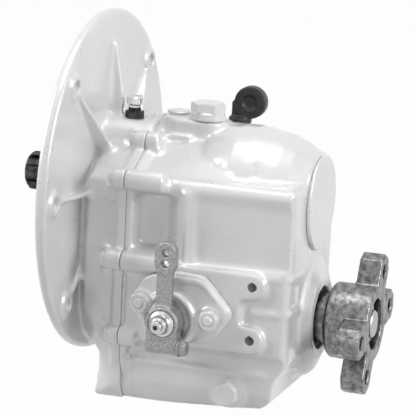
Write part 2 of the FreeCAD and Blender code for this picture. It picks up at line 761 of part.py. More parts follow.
def front_housing():
    tunnel = prism_x([
        (-23.0, 22.0, 2.0),
        (-19.5, ROOF_CREST_Z - 1.0, 17.0),
        (16.0, ROOF_CREST_Z - 1.0, 9.0),
        (34.0, 40.0, 12.0),
        (40.0, 20.0, 4.0),
        (0.0, 0.0, 0.0),
    ], FLANGE_T - 1.0, JOINT_X - 1.0)
    lip = prism_x(joint_outline(CASE_LIP_OUT), JOINT_X - LIP_T, JOINT_X)
    bulge = cyl_x(IDLER_BULGE_R, JOINT_X - LIP_T - 6.0, JOINT_X, IDLER_Y, IDLER_Z)
    foot = prism_x([
        (-SUMP_HALF_Y, CASE_FLOOR_Z + 6.0, 2.5),
        (SUMP_HALF_Y, CASE_FLOOR_Z + 6.0, 2.5),
        (SUMP_HALF_Y, CASE_FLOOR_Z, 2.5),
        (-SUMP_HALF_Y, CASE_FLOOR_Z, 2.5),
    ], SUMP_FRONT_X, JOINT_X)
    solid = flange_disc() + flange_ribs() + bolt_bosses(True)
    solid += [neck(), front_sump(), tunnel, lip, bulge, foot]
    seat = cyl_z(8.0, BREATHER_SEAT_Z - 8.0, BREATHER_SEAT_Z + 1.0, BREATHER_X, 0.0)
    casing = fuse(solid + [seat])
    deck = block(BREATHER_X - 9.0, BREATHER_X + 9.0, -9.0, 9.0, BREATHER_SEAT_Z, BREATHER_SEAT_Z + 9.0)
    cuts = [
        casing_cavity(CAVITY_FRONT_X, JOINT_X + 1.0),
        cyl_x(FRONT_BEARING_R, FRONT_BEARING_X, CAVITY_FRONT_X + 1.0),
        cyl_x(FRONT_BEARING_R, FRONT_BEARING_X, CAVITY_FRONT_X + 1.0, 0.0, OUT_Z),
        cyl_x(SEAL_R, SEAL_X, FRONT_BEARING_X + 1.0),
        cyl_x(SEAL_R + 5.0, -1.0, SEAL_X),
        cyl_x(JOURNAL_R + 2.0, 6.0, FRONT_BEARING_X + 1.0, 0.0, OUT_Z),
        cyl_x(BODY_R - 6.0 + SEAT_FIT, JOINT_X - 25.0, JOINT_X, IDLER_Y, IDLER_Z),
        cyl_z(4.2, 20.0, BREATHER_SEAT_Z + 2.0, BREATHER_X, 0.0),
        deck,
    ]
    cuts += bolt_holes()
    cuts += [cyl_x(FLANGE_HOLE_R, -1.0, FLANGE_T + FLANGE_BOSS_H + 1.0, y, z) for y, z in flange_places()]
    return cut(casing, cuts)


def side_recess(x0, x1, z0, z1, depth, side, aft_slope=4.0, top_slope=2.5):
    """Window pressed into a side wall, with rounded corners and sloping walls."""
    outline = [(x0, z0, 6.0), (x1, z0, 6.0), (x1, z1, 6.0), (x0, z1, 6.0)]
    inset = 2.5
    small = [
        (x0 + inset, z0 + inset, 4.0),
        (x1 - aft_slope, z0 + inset, 4.0),
        (x1 - aft_slope, z1 - top_slope, 4.0),
        (x0 + inset, z1 - top_slope, 4.0),
    ]
    outer_y = side * (CASE_HALF_Y + 1.0)
    inner_y = side * (CASE_HALF_Y - depth)
    wide = rounded_wire(outline, lambda u, v: Vector(u, outer_y, v))
    deep = rounded_wire(small, lambda u, v: Vector(u, inner_y, v))
    return Part.makeLoft([wide, deep], True, True)


def side_pad():
    """Machined pad for the shift cover, running aft into two tapped ears."""
    ear_x = EAR_X + EAR_R
    outline = [
        (PAD_X0, PAD_LOW_Z, 2.0),
        (ear_x, PAD_LOW_Z, EAR_R),
        (ear_x, EAR_LOW_Z + EAR_R, EAR_R - 0.1),
        (PAD_NOTCH_X, EAR_LOW_Z + EAR_R, 3.0),
        (PAD_NOTCH_X, EAR_TOP_Z - EAR_R, 3.0),
        (ear_x, EAR_TOP_Z - EAR_R, EAR_R - 0.1),
        (ear_x, PAD_TOP_Z + 0.5, EAR_R - 0.1),
        (PAD_X0, PAD_TOP_Z, 2.0),
    ]
    return prism_y(outline, PAD_Y, -CASE_HALF_Y + 8.0)


def rear_housing():
    body = prism_x(side_outline(), JOINT_X + GASKET_T, CASE_END_X)
    body = body.common(prism_z(rear_plan(), CASE_FLOOR_Z - 1.0, CASE_SHOULDER_Z + 2.0))
    body = body.common(prism_y(rear_profile(), -CASE_HALF_Y - 2.0, CASE_HALF_Y + 2.0))
    front_clip = block(0.0, JOINT_X + GASKET_T, -FAR, FAR, -FAR, FAR)
    lip = prism_x(joint_outline(CASE_LIP_OUT), JOINT_X + GASKET_T, JOINT_X + REAR_LIP_T)
    bulge = lathe_x([
        (JOINT_X + GASKET_T, 0.0),
        (JOINT_X + GASKET_T, IDLER_BULGE_R),
        (IDLER_BULGE_X1 - 14.0, IDLER_BULGE_R),
        (IDLER_BULGE_X1, IDLER_BULGE_R - 14.0),
        (IDLER_BULGE_X1, 0.0),
    ], IDLER_Y, IDLER_Z)
    pillar = cyl_z(PILLAR_R, PAD_TOP_Z, CASE_SHOULDER_Z - 8.0, PILLAR_X, -CASE_HALF_Y + PILLAR_R / 2)
    roof_ridge = block(JOINT_X + REAR_LIP_T - 1.0, 76.0, ROOF_SLOT_Y1, ROOF_SLOT_Y1 + 3.4, 30.0, 41.0)
    roof_slot = prism_z([
        (54.5, ROOF_SLOT_Y0, 1.8),
        (74.0, ROOF_SLOT_Y0, 1.8),
        (74.0, ROOF_SLOT_Y1, 1.8),
        (54.5, ROOF_SLOT_Y1, 1.8),
    ], ROOF_SLOT_Z, FAR)
    face_panel = block(CASE_END_X - 2.2, CASE_END_X + 1.0, -58.0, -41.0, -66.0, -49.5)
    filler_pad = prism_z([
        (52.0, FILLER_Y + 22.0, 12.0),
        (52.0, FILLER_Y - 13.5, 12.0),
        (FILLER_X + 14.0, FILLER_Y - 13.5, 13.4),
        (FILLER_X + 14.0, FILLER_Y + 13.5, 13.4),
        (FILLER_X - 6.0, FILLER_Y + 22.0, 8.0),
    ], 30.0, FILLER_PAD_Z)
    dip_boss = cyl_z(9.5, 0.0, DIPSTICK_SEAT_Z, DIPSTICK_X, DIPSTICK_Y)
    drain_boss = cyl_y(DRAIN_SPOT_R + 1.2, DRAIN_FACE_Y, -CAVITY_HALF_Y + 10.0, DRAIN_X, DRAIN_Z)
    solid = [body, roof(), barrel(), output_boss(), lip, bulge, pillar, filler_pad, dip_boss]
    solid += [side_pad(), drain_boss.common(above_floor()), sump_ridge(), roof_ridge]
    solid += corner_ledges() + bolt_bosses(False)
    casing = fuse(solid).cut(front_clip)
    near_depth = CASE_HALF_Y - CAVITY_HALF_Y - 7.0
    recesses = [
        side_recess(JOINT_X + REAR_LIP_T + 0.5, PILLAR_X - 4.5, -35.0, 7.5, near_depth, -1.0, 10.0),
        side_recess(PILLAR_X + 5.0, CASE_END_X + 12.0, PAD_TOP_Z + 0.7, 15.0, 2.5, -1.0, 6.0, 12.0),
        side_recess(92.0, 130.0, -95.0, 8.0, 4.0, 1.0),
        roof_slot,
        face_panel,
    ]
    casing = cut(casing, recesses + floor_reliefs())
    idler_web = fuse([
        cyl_x(14.0, REVERSE_X0 + REVERSE_W + 2.0, IDLER_BULGE_X1, IDLER_Y, IDLER_Z),
        block(REVERSE_X0 + REVERSE_W + 4.0, IDLER_BULGE_X1 - 6.0, IDLER_Y, CASE_HALF_Y, IDLER_Z - 8.0, IDLER_Z + 8.0),
    ])
    space = casing_cavity(JOINT_X - 1.0, CAVITY_END_X).cut(idler_web)
    cuts = [
        space,
        cyl_x(INPUT_REAR_BEARING_R, CAVITY_END_X - 1.0, CASE_END_X + 9.0),
        cyl_x(FRONT_BEARING_R, CAVITY_END_X - 1.0, OUTPUT_REAR_BEARING_X + BEARING_W + 1.0, 0.0, OUT_Z),
        cyl_x(OUTPUT_SEAL_R, CASE_END_X - 20.0, OUTPUT_BOSS_END_X + 1.0, 0.0, OUT_Z),
        cyl_x(BODY_R - 6.0 + SEAT_FIT, JOINT_X, IDLER_BULGE_X1 - 4.0, IDLER_Y, IDLER_Z),
        cyl_y(COVER_SPIGOT_R + RUN_FIT, PAD_Y - 1.0, 5.0 - CAVITY_HALF_Y, SHIFT_X, SHIFT_Z),
        cyl_y(EAR_HOLE_R, PAD_Y - 1.0, PAD_Y + EAR_HOLE_DEPTH, EAR_X, EAR_TOP_Z),
        cyl_y(EAR_HOLE_R, PAD_Y - 1.0, PAD_Y + EAR_HOLE_DEPTH, EAR_X, EAR_LOW_Z),
        cyl_z(FILLER_HOLE_R + RUN_FIT, 0.0, FILLER_PAD_Z + 1.0, FILLER_X, FILLER_Y),
        cyl_z(DIPSTICK_R + 1.5, -20.0, DIPSTICK_SEAT_Z + 1.0, DIPSTICK_X, DIPSTICK_Y),
        cyl_y(DRAIN_THREAD_R + RUN_FIT, DRAIN_FACE_Y - 1.0, -20.0, DRAIN_X, DRAIN_Z),
        cyl_y(DRAIN_SPOT_R, DRAIN_FACE_Y - 9.0, DRAIN_FACE_Y, DRAIN_X, DRAIN_Z),
        prism_y(cover_outline(COVER_CLEAR), PAD_Y - 30.0, PAD_Y),
        cyl_z(7.0 + RUN_FIT, 38.0, ROOF_CREST_Z + 5.0, BLANK_X, BLANK_Y),
    ]
    cuts += [cyl_y(STUD_R + RUN_FIT, PAD_Y - 1.0, PAD_Y + 15.0, x, z) for x, z in COVER_STUDS]
    cuts += bolt_holes()
    return cut(casing, cuts)


def above_floor():
    """Space that a boss may fill without reaching under the sump's lower edge."""
    return block(0.0, FAR, -FAR, FAR, CASE_FLOOR_Z + 4.0, FAR)


def floor_reliefs():
    """Wedges that lift the sump's long lower edges towards the rear."""
    rise = [
        (75.0, CASE_FLOOR_Z, 0.0),
        (160.0, CASE_FLOOR_Z + 6.0, 0.0),
        (160.0, CASE_FLOOR_Z - 2.0, 0.0),
        (75.0, CASE_FLOOR_Z - 2.0, 0.0),
    ]
    return [prism_y(rise, -CASE_HALF_Y, -FOOT_HALF_Y), prism_y(rise, FOOT_HALF_Y, CASE_HALF_Y)]


def case_gasket():
    sheet = prism_x(joint_outline(CASE_LIP_OUT - 1.0), JOINT_X, JOINT_X + GASKET_T)
    sheet = fuse([sheet, cyl_x(IDLER_BULGE_R - 1.0, JOINT_X, JOINT_X + GASKET_T, IDLER_Y, IDLER_Z)])
    return cut(sheet, [casing_cavity(JOINT_X - 1.0, JOINT_X + 2.0)] + bolt_holes())


def cap_screw_x(x_seat, x_tip, y, z):
    """Round-headed screw with a hexagon socket, its head in front of the seat."""
    head = cyl_x(BOLT_HEAD_R, x_seat - BOLT_HEAD_H, x_seat, y, z)
    socket = prism_x(shifted(hexagon(BOLT_SOCKET_AF), y, z), x_seat - BOLT_HEAD_H - 1.0, x_seat - 1.5)
    return fuse([head, cyl_x(BOLT_R, x_seat, x_tip, y, z)]).cut(socket)


def case_bolts():
    bolts = []
    for y, z, x0, x1 in CASE_BOLTS:
        bolts.append(cap_screw_x(x0, bolt_tip(x1) - 1.0, y, z))
    return bolts


def dowel_pins():
    return [cyl_x(DOWEL_R, JOINT_X - DOWEL_DEPTH + 0.5, JOINT_X + DOWEL_DEPTH, y, z) for y, z in DOWELS]


def bearing(x0, width, bore_r, outer_r, z):
    """Cylindrical roller bearing: outer ring, then inner ring with its rollers."""
    middle = (bore_r + outer_r) / 2
    roller_r = (outer_r - bore_r) * 0.21
    outer = tube_x(outer_r - SEAT_FIT, middle + roller_r + RUN_FIT, x0, x0 + width, 0.0, z)
    inner = tube_x(middle - roller_r - RUN_FIT, bore_r + SEAT_FIT, x0, x0 + width, 0.0, z)
    rollers = []
    for i in range(ROLLERS):
        turn = 2 * math.pi * i / ROLLERS
        y = middle * math.cos(turn)
        rollers.append(cyl_x(roller_r, x0 + 2.0, x0 + width - 2.0, y, z + middle * math.sin(turn)))
    return outer, inner, rollers


def lip_seal(x0, x1, outer_r, shaft_r, z):
    """Oil seal with a sloping lip that runs on the shaft."""
    return lathe_x([
        (x0, shaft_r + 4.0),
        (x0, outer_r - SEAT_FIT),
        (x1, outer_r - SEAT_FIT),
        (x1, shaft_r + 1.6),
        (x1 - 1.6, shaft_r + RUN_FIT),
        (x1 - 2.4, shaft_r + RUN_FIT),
        (x1 - 3.2, shaft_r + 4.0),
    ], 0.0, z)


def rear_bearing_cap():
    seat = INPUT_REAR_BEARING_R - SEAT_FIT
    return lathe_x([
        (CASE_END_X - CAP_SPIGOT_L, seat - 5.0),
        (CASE_END_X - CAP_SPIGOT_L, seat),
        (CASE_END_X, seat),
        (CASE_END_X, CAP_R),
        (CASE_END_X + CAP_T - 0.8, CAP_R),
        (CASE_END_X + CAP_T, CAP_R - 0.8),
        (CASE_END_X + CAP_T, 0.0),
        (CASE_END_X - 1.0, 0.0),
        (CASE_END_X - 1.0, seat - 5.0),
    ])


def input_shaft():
    body = lathe_x([
        (SPLINE_END_X - 4.0, 0.0),
        (SPLINE_END_X - 4.0, SPLINE_R),
        (SPLINE_END_X, JOURNAL_R),
        (FRONT_BEARING_X + BEARING_W, JOURNAL_R),
        (FRONT_BEARING_X + BEARING_W, BODY_R + 5.0),
        (REVERSE_X0, BODY_R + 5.0),
        (REVERSE_X0, BODY_R),
        (REVERSE_X0 + REVERSE_W, BODY_R),
        (REVERSE_X0 + REVERSE_W, INPUT_WAIST_R),
        (FORWARD_X0, INPUT_WAIST_R),
        (FORWARD_X0, BODY_R),
        (FORWARD_X0 + FORWARD_W, BODY_R),
        (FORWARD_X0 + FORWARD_W, BODY_R - 1.0),
        (INPUT_REAR_BEARING_X, BODY_R - 1.0),
        (INPUT_REAR_BEARING_X, INPUT_REAR_R),
        (INPUT_REAR_BEARING_X + INPUT_REAR_BEARING_W + 1.0, INPUT_REAR_R),
        (INPUT_REAR_BEARING_X + INPUT_REAR_BEARING_W + 2.0, INPUT_REAR_R - 1.0),
        (INPUT_REAR_BEARING_X + INPUT_REAR_BEARING_W + 2.0, 0.0),
    ])
    teeth = keyed_bar(SPLINE_ROOT_R, SPLINE_R - SPLINE_ROOT_R, 4.4, SPLINE_TEETH, SPLINE_TIP_X, SPLINE_END_X - 2.0)
    nose = lathe_x([
        (SPLINE_TIP_X, 0.0),
        (SPLINE_TIP_X, SPLINE_ROOT_R),
        (SPLINE_TIP_X + SPLINE_R - SPLINE_ROOT_R, SPLINE_R + 0.1),
        (SPLINE_END_X, SPLINE_R + 0.1),
        (SPLINE_END_X, 0.0),
    ])
    return fuse([body, teeth.common(nose)])


def pinion(teeth, phase, x0, width):
    return gear_blank(teeth, phase, x0, width).cut(cyl_x(BODY_R + SEAT_FIT, x0 - 1.0, x0 + width + 1.0))


def gear_phases():
    """Phases that put every pair in mesh at rest."""
    down = -math.pi / 2
    to_idler = math.atan2(IDLER_Z, IDLER_Y)
    idler_to_output = math.atan2(OUT_Z - IDLER_Z, -IDLER_Y)
    forward = mesh_phase(FORWARD_PINION_TEETH, 0.0, down, FORWARD_GEAR_TEETH)
    idler = mesh_phase(REVERSE_PINION_TEETH, 0.0, to_idler, IDLER_TEETH)
    reverse = mesh_phase(IDLER_TEETH, idler, idler_to_output, REVERSE_GEAR_TEETH)
    return forward, idler, reverse


def loose_gear(teeth, phase, x0, width, towards):
    """Gear that runs loose on the output shaft, with its clutch drum."""
    x_web = x0 if towards < 0 else x0 + width
    mouth = SHIFT_X - towards * (DRUM_MOUTH - 9.5)
    shell = tube_x(DRUM_R, DRUM_BORE_R, min(x_web, mouth), max(x_web, mouth), 0.0, OUT_Z)
    slot_x0, slot_x1 = min(x_web, mouth + towards), max(x_web, mouth + towards)
    slots = keyed_bar(DRUM_BORE_R - 0.5, DRUM_SLOT_D + 0.5, DRUM_SLOT_W, HUB_KEYS, slot_x0, slot_x1, OUT_Z)
    blank = gear_blank(teeth, phase, x0, width, 0.0, OUT_Z)
    bore = cyl_x(GEAR_BORE_R + SEAT_FIT, x0 - 1.0, x0 + width + 1.0, 0.0, OUT_Z)
    return fuse([blank, shell.cut(slots)]).cut(bore)


def gear_bush(x0, width):
    return tube_x(GEAR_BORE_R, BODY_R + RUN_FIT, x0, x0 + width, 0.0, OUT_Z)


def disc_places(towards):
    """Front faces of the discs of one pack, counted away from the gear."""
    web = FORWARD_X0 if towards < 0 else REVERSE_X0 + REVERSE_W
    places = []
    for i in range(2 * DISC_PAIRS):
        near = web + towards * (DISC_GAP + i * (DISC_T + DISC_GAP))
        places.append(near if towards > 0 else near - DISC_T)
    return places


def outer_discs(towards):
    """Steel discs, keyed to the drum."""
    discs = []
    for x0 in disc_places(towards)[0::2]:
        plate = keyed_bar(DRUM_BORE_R - RUN_FIT, DRUM_SLOT_D - 0.4, DRUM_SLOT_W - 0.4, HUB_KEYS, x0, x0 + DISC_T, OUT_Z)
        discs.append(plate.cut(cyl_x(DISC_IN_R, x0 - 1.0, x0 + DISC_T + 1.0, 0.0, OUT_Z)))
    return discs


def hub_socket(x0, x1):
    """Keyed hole that slides on the clutch hub."""
    return keyed_bar(HUB_R + RUN_FIT, HUB_KEY_H, HUB_KEY_W + 2 * RUN_FIT, HUB_KEYS, x0, x1, OUT_Z)


def inner_discs(towards):
    """Friction discs, keyed to the clutch hub."""
    discs = []
    for x0 in disc_places(towards)[1::2]:
        plate = cyl_x(DISC_OUT_R, x0, x0 + DISC_T, 0.0, OUT_Z)
        discs.append(plate.cut(hub_socket(x0 - 1.0, x0 + DISC_T + 1.0)))
    return discs


def pressure_plate(towards):
    """Thick plate between the shift sleeve and one disc pack."""
    face = SHIFT_X - towards * (SLEEVE_W / 2 + SLEEVE_TRAVEL_GAP)
    x0 = face - PLATE_T if towards > 0 else face
    plate = cyl_x(DISC_OUT_R, x0, x0 + PLATE_T, 0.0, OUT_Z)
    return plate.cut(hub_socket(x0 - 1.0, x0 + PLATE_T + 1.0))


def clutch_hub():
    x0 = REVERSE_X0 + REVERSE_W + FACE_GAP
    x1 = FORWARD_X0 - FACE_GAP
    bar = keyed_bar(HUB_R, HUB_KEY_H - RUN_FIT, HUB_KEY_W, HUB_KEYS, x0, x1, OUT_Z)
    return bar.cut(cyl_x(BODY_R + SEAT_FIT, x0 - 1.0, x1 + 1.0, 0.0, OUT_Z))


def shift_sleeve():
    """Sliding ring with a groove for the shift shoe."""
    x0 = SHIFT_X - SLEEVE_W / 2
    x1 = SHIFT_X + SLEEVE_W / 2
    half = SLEEVE_GROOVE_W / 2
    ring = lathe_x([
        (x0, 0.0), (x0, SLEEVE_R - 0.6), (x0 + 0.6, SLEEVE_R), (SHIFT_X - half, SLEEVE_R),
        (SHIFT_X - half, SLEEVE_GROOVE_R), (SHIFT_X + half, SLEEVE_GROOVE_R),
        (SHIFT_X + half, SLEEVE_R), (x1 - 0.6, SLEEVE_R), (x1, SLEEVE_R - 0.6), (x1, 0.0),
    ], 0.0, OUT_Z)
    return ring.cut(hub_socket(x0 - 1.0, x1 + 1.0))


def output_shaft():
    rear_bearing_end = OUTPUT_REAR_BEARING_X + BEARING_W
    return lathe_x([
        (FRONT_BEARING_X - 2.0, 0.0),
        (FRONT_BEARING_X - 2.0, JOURNAL_R - 1.0),
        (FRONT_BEARING_X - 1.0, JOURNAL_R),
        (FRONT_BEARING_X + BEARING_W, JOURNAL_R),
        (FRONT_BEARING_X + BEARING_W, BODY_R),
        (OUTPUT_REAR_BEARING_X, BODY_R),
        (OUTPUT_REAR_BEARING_X, JOURNAL_R),
        (rear_bearing_end, JOURNAL_R),
        (rear_bearing_end, COUPLING_SPLINE_R),
        (COUPLING_X - COUPLING_RECESS_D, COUPLING_SPLINE_R),
        (COUPLING_X - COUPLING_RECESS_D, NUT_THREAD_R),
        (COUPLING_X - COUPLING_RECESS_D + NUT_H + 2.0, NUT_THREAD_R),
        (COUPLING_X - COUPLING_RECESS_D + NUT_H + 3.0, NUT_THREAD_R - 1.0),
        (COUPLING_X - COUPLING_RECESS_D + NUT_H + 3.0, 0.0),
    ], 0.0, OUT_Z)


def thrust_washers():
    front = tube_x(BODY_R + 8.0, BODY_R + SEAT_FIT, FRONT_BEARING_X + BEARING_W, REVERSE_X0 - FACE_GAP, 0.0, OUT_Z)
    rear = tube_x(BODY_R + 8.0, BODY_R + SEAT_FIT, FORWARD_X0 + FORWARD_W + FACE_GAP, OUTPUT_REAR_BEARING_X, 0.0, OUT_Z)
    return [front, rear]


def coupling_lug():
    """One lug of the coupling, pointing up."""
    half = COUPLING_LUG_W / 2
    return prism_x([
        (-half, 0.0, 0.0),
        (half, 0.0, 0.0),
        (half, COUPLING_LUG_R - 7.0, 1.5),
        (half - 6.5, COUPLING_LUG_R, 1.5),
        (-half + 6.5, COUPLING_LUG_R, 1.5),
        (-half, COUPLING_LUG_R - 7.0, 1.5),
    ], COUPLING_X - COUPLING_LUG_T, COUPLING_X)


def output_coupling():
    """Coupling half with four lugs in two pairs, splined to the output shaft."""
    hub = lathe_x([
        (OUTPUT_REAR_BEARING_X + BEARING_W, 0.0),
        (OUTPUT_REAR_BEARING_X + BEARING_W, COUPLING_JOURNAL_R),
        (COUPLING_BACK_X, COUPLING_JOURNAL_R),
        (COUPLING_BACK_X, COUPLING_HUB_R - 3.0),
        (COUPLING_BACK_X + 2.5, COUPLING_HUB_R),
        (COUPLING_X, COUPLING_HUB_R),
        (COUPLING_X, 0.0),
    ])
    solids = [hub]
    for angle in COUPLING_LUG_ANGLES:
        lug = coupling_lug()
        lug.rotate(Vector(0, 0, 0), X_AXIS, -angle)
        solids.append(lug)
    cuts = [
        cyl_x(COUPLING_SPLINE_R + SEAT_FIT, 100.0, COUPLING_X + 1.0),
        cyl_x(COUPLING_RECESS_R, COUPLING_X - COUPLING_RECESS_D, COUPLING_X + 1.0),
    ]
    for angle in COUPLING_LUG_ANGLES:
        turn = math.radians(angle)
        y = COUPLING_PCD / 2 * math.sin(turn)
        z = COUPLING_PCD / 2 * math.cos(turn)
        cuts.append(cyl_x(COUPLING_HOLE_R, COUPLING_X - COUPLING_LUG_T - 1.0, COUPLING_X + 1.0, y, z))
    shape = cut(fuse(solids), cuts)
    shape.translate(Vector(0, 0, OUT_Z))
    return shape


def output_nut():
    """Slotted round nut in the coupling's recess."""
    x0 = COUPLING_X - COUPLING_RECESS_D
    body = lathe_x([
        (x0, NUT_THREAD_R + SEAT_FIT),
        (x0, NUT_R),
        (x0 + NUT_H - 1.0, NUT_R),
        (x0 + NUT_H, NUT_R - 1.0),
        (x0 + NUT_H, NUT_THREAD_R + SEAT_FIT),
    ], 0.0, OUT_Z)
    slots = []
    for i in range(4):
        slot = block(x0 + NUT_H - 4.0, x0 + NUT_H + 1.0, -2.2, 2.2, NUT_R - 3.0, NUT_R + 1.0)
        slot.rotate(Vector(0, 0, 0), X_AXIS, 45.0 + 90.0 * i)
        slot.translate(Vector(0, 0, OUT_Z))
        slots.append(slot)
    return cut(body, slots)


def idler_gear():
    phase = gear_phases()[1]
    blank = gear_blank(IDLER_TEETH, phase, REVERSE_X0, REVERSE_W, IDLER_Y, IDLER_Z)
    return blank.cut(cyl_x(BODY_R - 3.0 + SEAT_FIT, 0.0, FAR, IDLER_Y, IDLER_Z))


def idler_bush():
    return tube_x(BODY_R - 3.0, BODY_R - 6.0 + RUN_FIT, REVERSE_X0, REVERSE_X0 + REVERSE_W, IDLER_Y, IDLER_Z)


def idler_shaft():
    return cyl_x(BODY_R - 6.0, JOINT_X - 24.0, IDLER_BULGE_X1 - 5.0, IDLER_Y, IDLER_Z)


def cover_outline(grow):
    """Rhomboid cover: a round middle drawn out to the two studs."""
    (x1, z1), (x2, z2) = COVER_STUDS
    return [
        (x1 - 10.0 - grow, z1 - 1.5, 8.0),
        (x1 + 2.0, z1 + 19.0 + grow, 13.0),
        (SHIFT_X + 4.0, SHIFT_Z + 34.0 + grow, 16.0),
        (x2 - 7.0, z2 + 30.0 + grow, 14.0),
        (x2 + 16.5 + grow, z2 + 4.5, 8.0),
        (x2 + 4.0, z2 - 13.0 - grow, 12.0),
        (SHIFT_X + 9.0, SHIFT_Z - 19.5 - grow, 14.0),
        (SHIFT_X - 12.0, SHIFT_Z - 18.0 - grow, 14.0),
    ]


def shift_cover():
    face = PAD_Y - GASKET_T
    plate = prism_y(cover_outline(0.0), face - COVER_T, face)
    boss = lathe_y([
        (face - COVER_T - COVER_BOSS_H, 0.0),
        (face - COVER_T - COVER_BOSS_H, COVER_BOSS_R - 1.5),
        (face - COVER_T - COVER_BOSS_H + 1.5, COVER_BOSS_R),
        (face, COVER_BOSS_R + 1.0),
        (face, COVER_SPIGOT_R),
        (COVER_SPIGOT_END_Y, COVER_SPIGOT_R),
        (COVER_SPIGOT_END_Y, 0.0),
    ], SHIFT_X, SHIFT_Z)
    rib = prism_y(cover_outline(-3.0), face - COVER_T - 1.8, face - COVER_T + 1.0)
    rib = rib.cut(prism_y(cover_outline(-6.0), face - COVER_T - 3.0, face - COVER_T + 2.0))
    rib = rib.common(block(SHIFT_X, SHIFT_X + 60.0, -FAR, 0.0, SHIFT_Z + 1.0, SHIFT_Z + 60.0))
    seats = [cyl_y(NUT_SEAT_R, nut_seat_y(), face, x, z) for x, z in COVER_STUDS]
    solid = fuse([plate, boss, rib] + seats)
    cuts = [
        cyl_y(SHIFT_SHAFT_R + RUN_FIT, -FAR, 0.0, SHIFT_X, SHIFT_Z),
        cyl_y(COVER_RECESS_R, -FAR, face - COVER_T - COVER_BOSS_H + COVER_RECESS_D, SHIFT_X, SHIFT_Z),
    ]
    cuts += [cyl_y(STUD_R + RUN_FIT, -FAR, 0.0, x, z) for x, z in COVER_STUDS]
    cuts += [cyl_y(NUT_SEAT_R, -FAR, nut_seat_y(), x, z) for x, z in COVER_STUDS]
    return cut(solid, cuts)


def nut_seat_y():
    return PAD_Y - GASKET_T - COVER_T - NUT_SEAT_H


def cover_gasket():
    sheet = prism_y(cover_outline(-0.5), PAD_Y - GASKET_T, PAD_Y)
    cuts = [cyl_y(COVER_SPIGOT_R + RUN_FIT, -FAR, 0.0, SHIFT_X, SHIFT_Z)]
    cuts += [cyl_y(STUD_R + RUN_FIT, -FAR, 0.0, x, z) for x, z in COVER_STUDS]
    return cut(sheet, cuts)


def cover_studs():
    tip = nut_seat_y() - COVER_NUT_H - 0.8
    studs = []
    for x, z in COVER_STUDS:
        studs.append(lathe_y([
            (tip, 0.0), (tip, STUD_R - 1.2), (tip + 1.2, STUD_R),
            (PAD_Y + 13.0, STUD_R), (PAD_Y + 13.0, 0.0),
        ], x, z))
    return studs


def cover_nuts():
    face = nut_seat_y()
    top = face - COVER_NUT_H
    nuts = []
    for x, z in COVER_STUDS:
        body = prism_y(shifted(hexagon(NUT_AF, 15.0), x, z), top, face - 1.0)
        round_off = lathe_y([
            (top, 0.0), (top, NUT_AF * 0.48), (top + 1.2, NUT_AF * 0.58),
            (face, NUT_AF * 0.58), (face, 0.0),
        ], x, z)
        collar = cyl_y(NUT_COLLAR_R, face - 1.2, face, x, z)
        nut = fuse([body.common(round_off), collar])
        nuts.append(nut.cut(cyl_y(STUD_R + SEAT_FIT, -FAR, 0.0, x, z)))
    return nuts


def shift_shaft():
    """Shift shaft with a nipple outside and an eccentric pin inside."""
    shaft = lathe_y([
        (NIPPLE_END_Y, NIPPLE_HOLE_R),
        (NIPPLE_END_Y, NIPPLE_R - 0.6),
        (NIPPLE_END_Y + 0.6, NIPPLE_R),
        (NIPPLE_END_Y + 4.5, NIPPLE_R),
        (NIPPLE_END_Y + 6.0, NIPPLE_R + 1.6),
        (NIPPLE_END_Y + 9.0, NIPPLE_R + 2.2),
        (SHIFT_SHAFT_END_Y - 0.5, SHIFT_SHAFT_R - 2.0),
        (SHIFT_SHAFT_END_Y + 1.2, SHIFT_SHAFT_R),
        (SHAFT_INNER_Y, SHIFT_SHAFT_R),
        (SHAFT_INNER_Y, 0.0),
        (NIPPLE_END_Y + 12.0, 0.0),
        (NIPPLE_END_Y + 12.0, NIPPLE_HOLE_R),
    ], SHIFT_X, SHIFT_Z)
    pin = cyl_y(ECCENTRIC_PIN_R, SHAFT_INNER_Y - 1.0, PIN_END_Y, SHIFT_X, SHIFT_Z - ECCENTRIC)
    return fuse([shaft, pin])


def shift_shoe():
    """Sliding block between the eccentric pin and the sleeve's groove."""
    pin_z = SHIFT_Z - ECCENTRIC
    wide = SLEEVE_GROOVE_W - 2 * RUN_FIT - 0.1
    tongue = block(SHIFT_X - wide / 2, SHIFT_X + wide / 2, SHOE_FACE_Y - 1.0, SHOE_TIP_Y, pin_z - 8.0, pin_z + 8.0)
    head = block(SHIFT_X - 6.5, SHIFT_X + 6.5, SHOE_HEAD_Y, SHOE_FACE_Y, pin_z - 8.0, pin_z + 8.0)
    slot = prism_y([
        (SHIFT_X - ECCENTRIC_PIN_R - PIN_PLAY, pin_z - 4.2, 3.0),
        (SHIFT_X + ECCENTRIC_PIN_R + PIN_PLAY, pin_z - 4.2, 3.0),
        (SHIFT_X + ECCENTRIC_PIN_R + PIN_PLAY, pin_z + 4.2, 3.0),
        (SHIFT_X - ECCENTRIC_PIN_R - PIN_PLAY, pin_z + 4.2, 3.0),
    ], SHOE_HEAD_Y - 1.0, PIN_END_Y + 0.5)
    return fuse([tongue, head]).cut(slot)


def shift_washer():
    """Bright thrust washer between the cover's recess and the lever hub."""
    bottom = PAD_Y - GASKET_T - COVER_T - COVER_BOSS_H + COVER_RECESS_D
    top = LEVER_HUB_Y0 + LEVER_HUB_L
    ring = cyl_y(COVER_RECESS_R - 2.0, top + 0.1, bottom - 0.05, SHIFT_X, SHIFT_Z)
    return ring.cut(cyl_y(SHIFT_SHAFT_R + RUN_FIT, -FAR, 0.0, SHIFT_X, SHIFT_Z))


def shaft_ring():
    """Rubber ring that seals the shift shaft at the inner end of the cover."""
    y0 = COVER_SPIGOT_END_Y
    ring = cyl_y(SHIFT_SHAFT_R + 4.0, y0 + RUN_FIT, y0 + 3.0, SHIFT_X, SHIFT_Z)
    return ring.cut(cyl_y(SHIFT_SHAFT_R + RUN_FIT, -FAR, 0.0, SHIFT_X, SHIFT_Z))


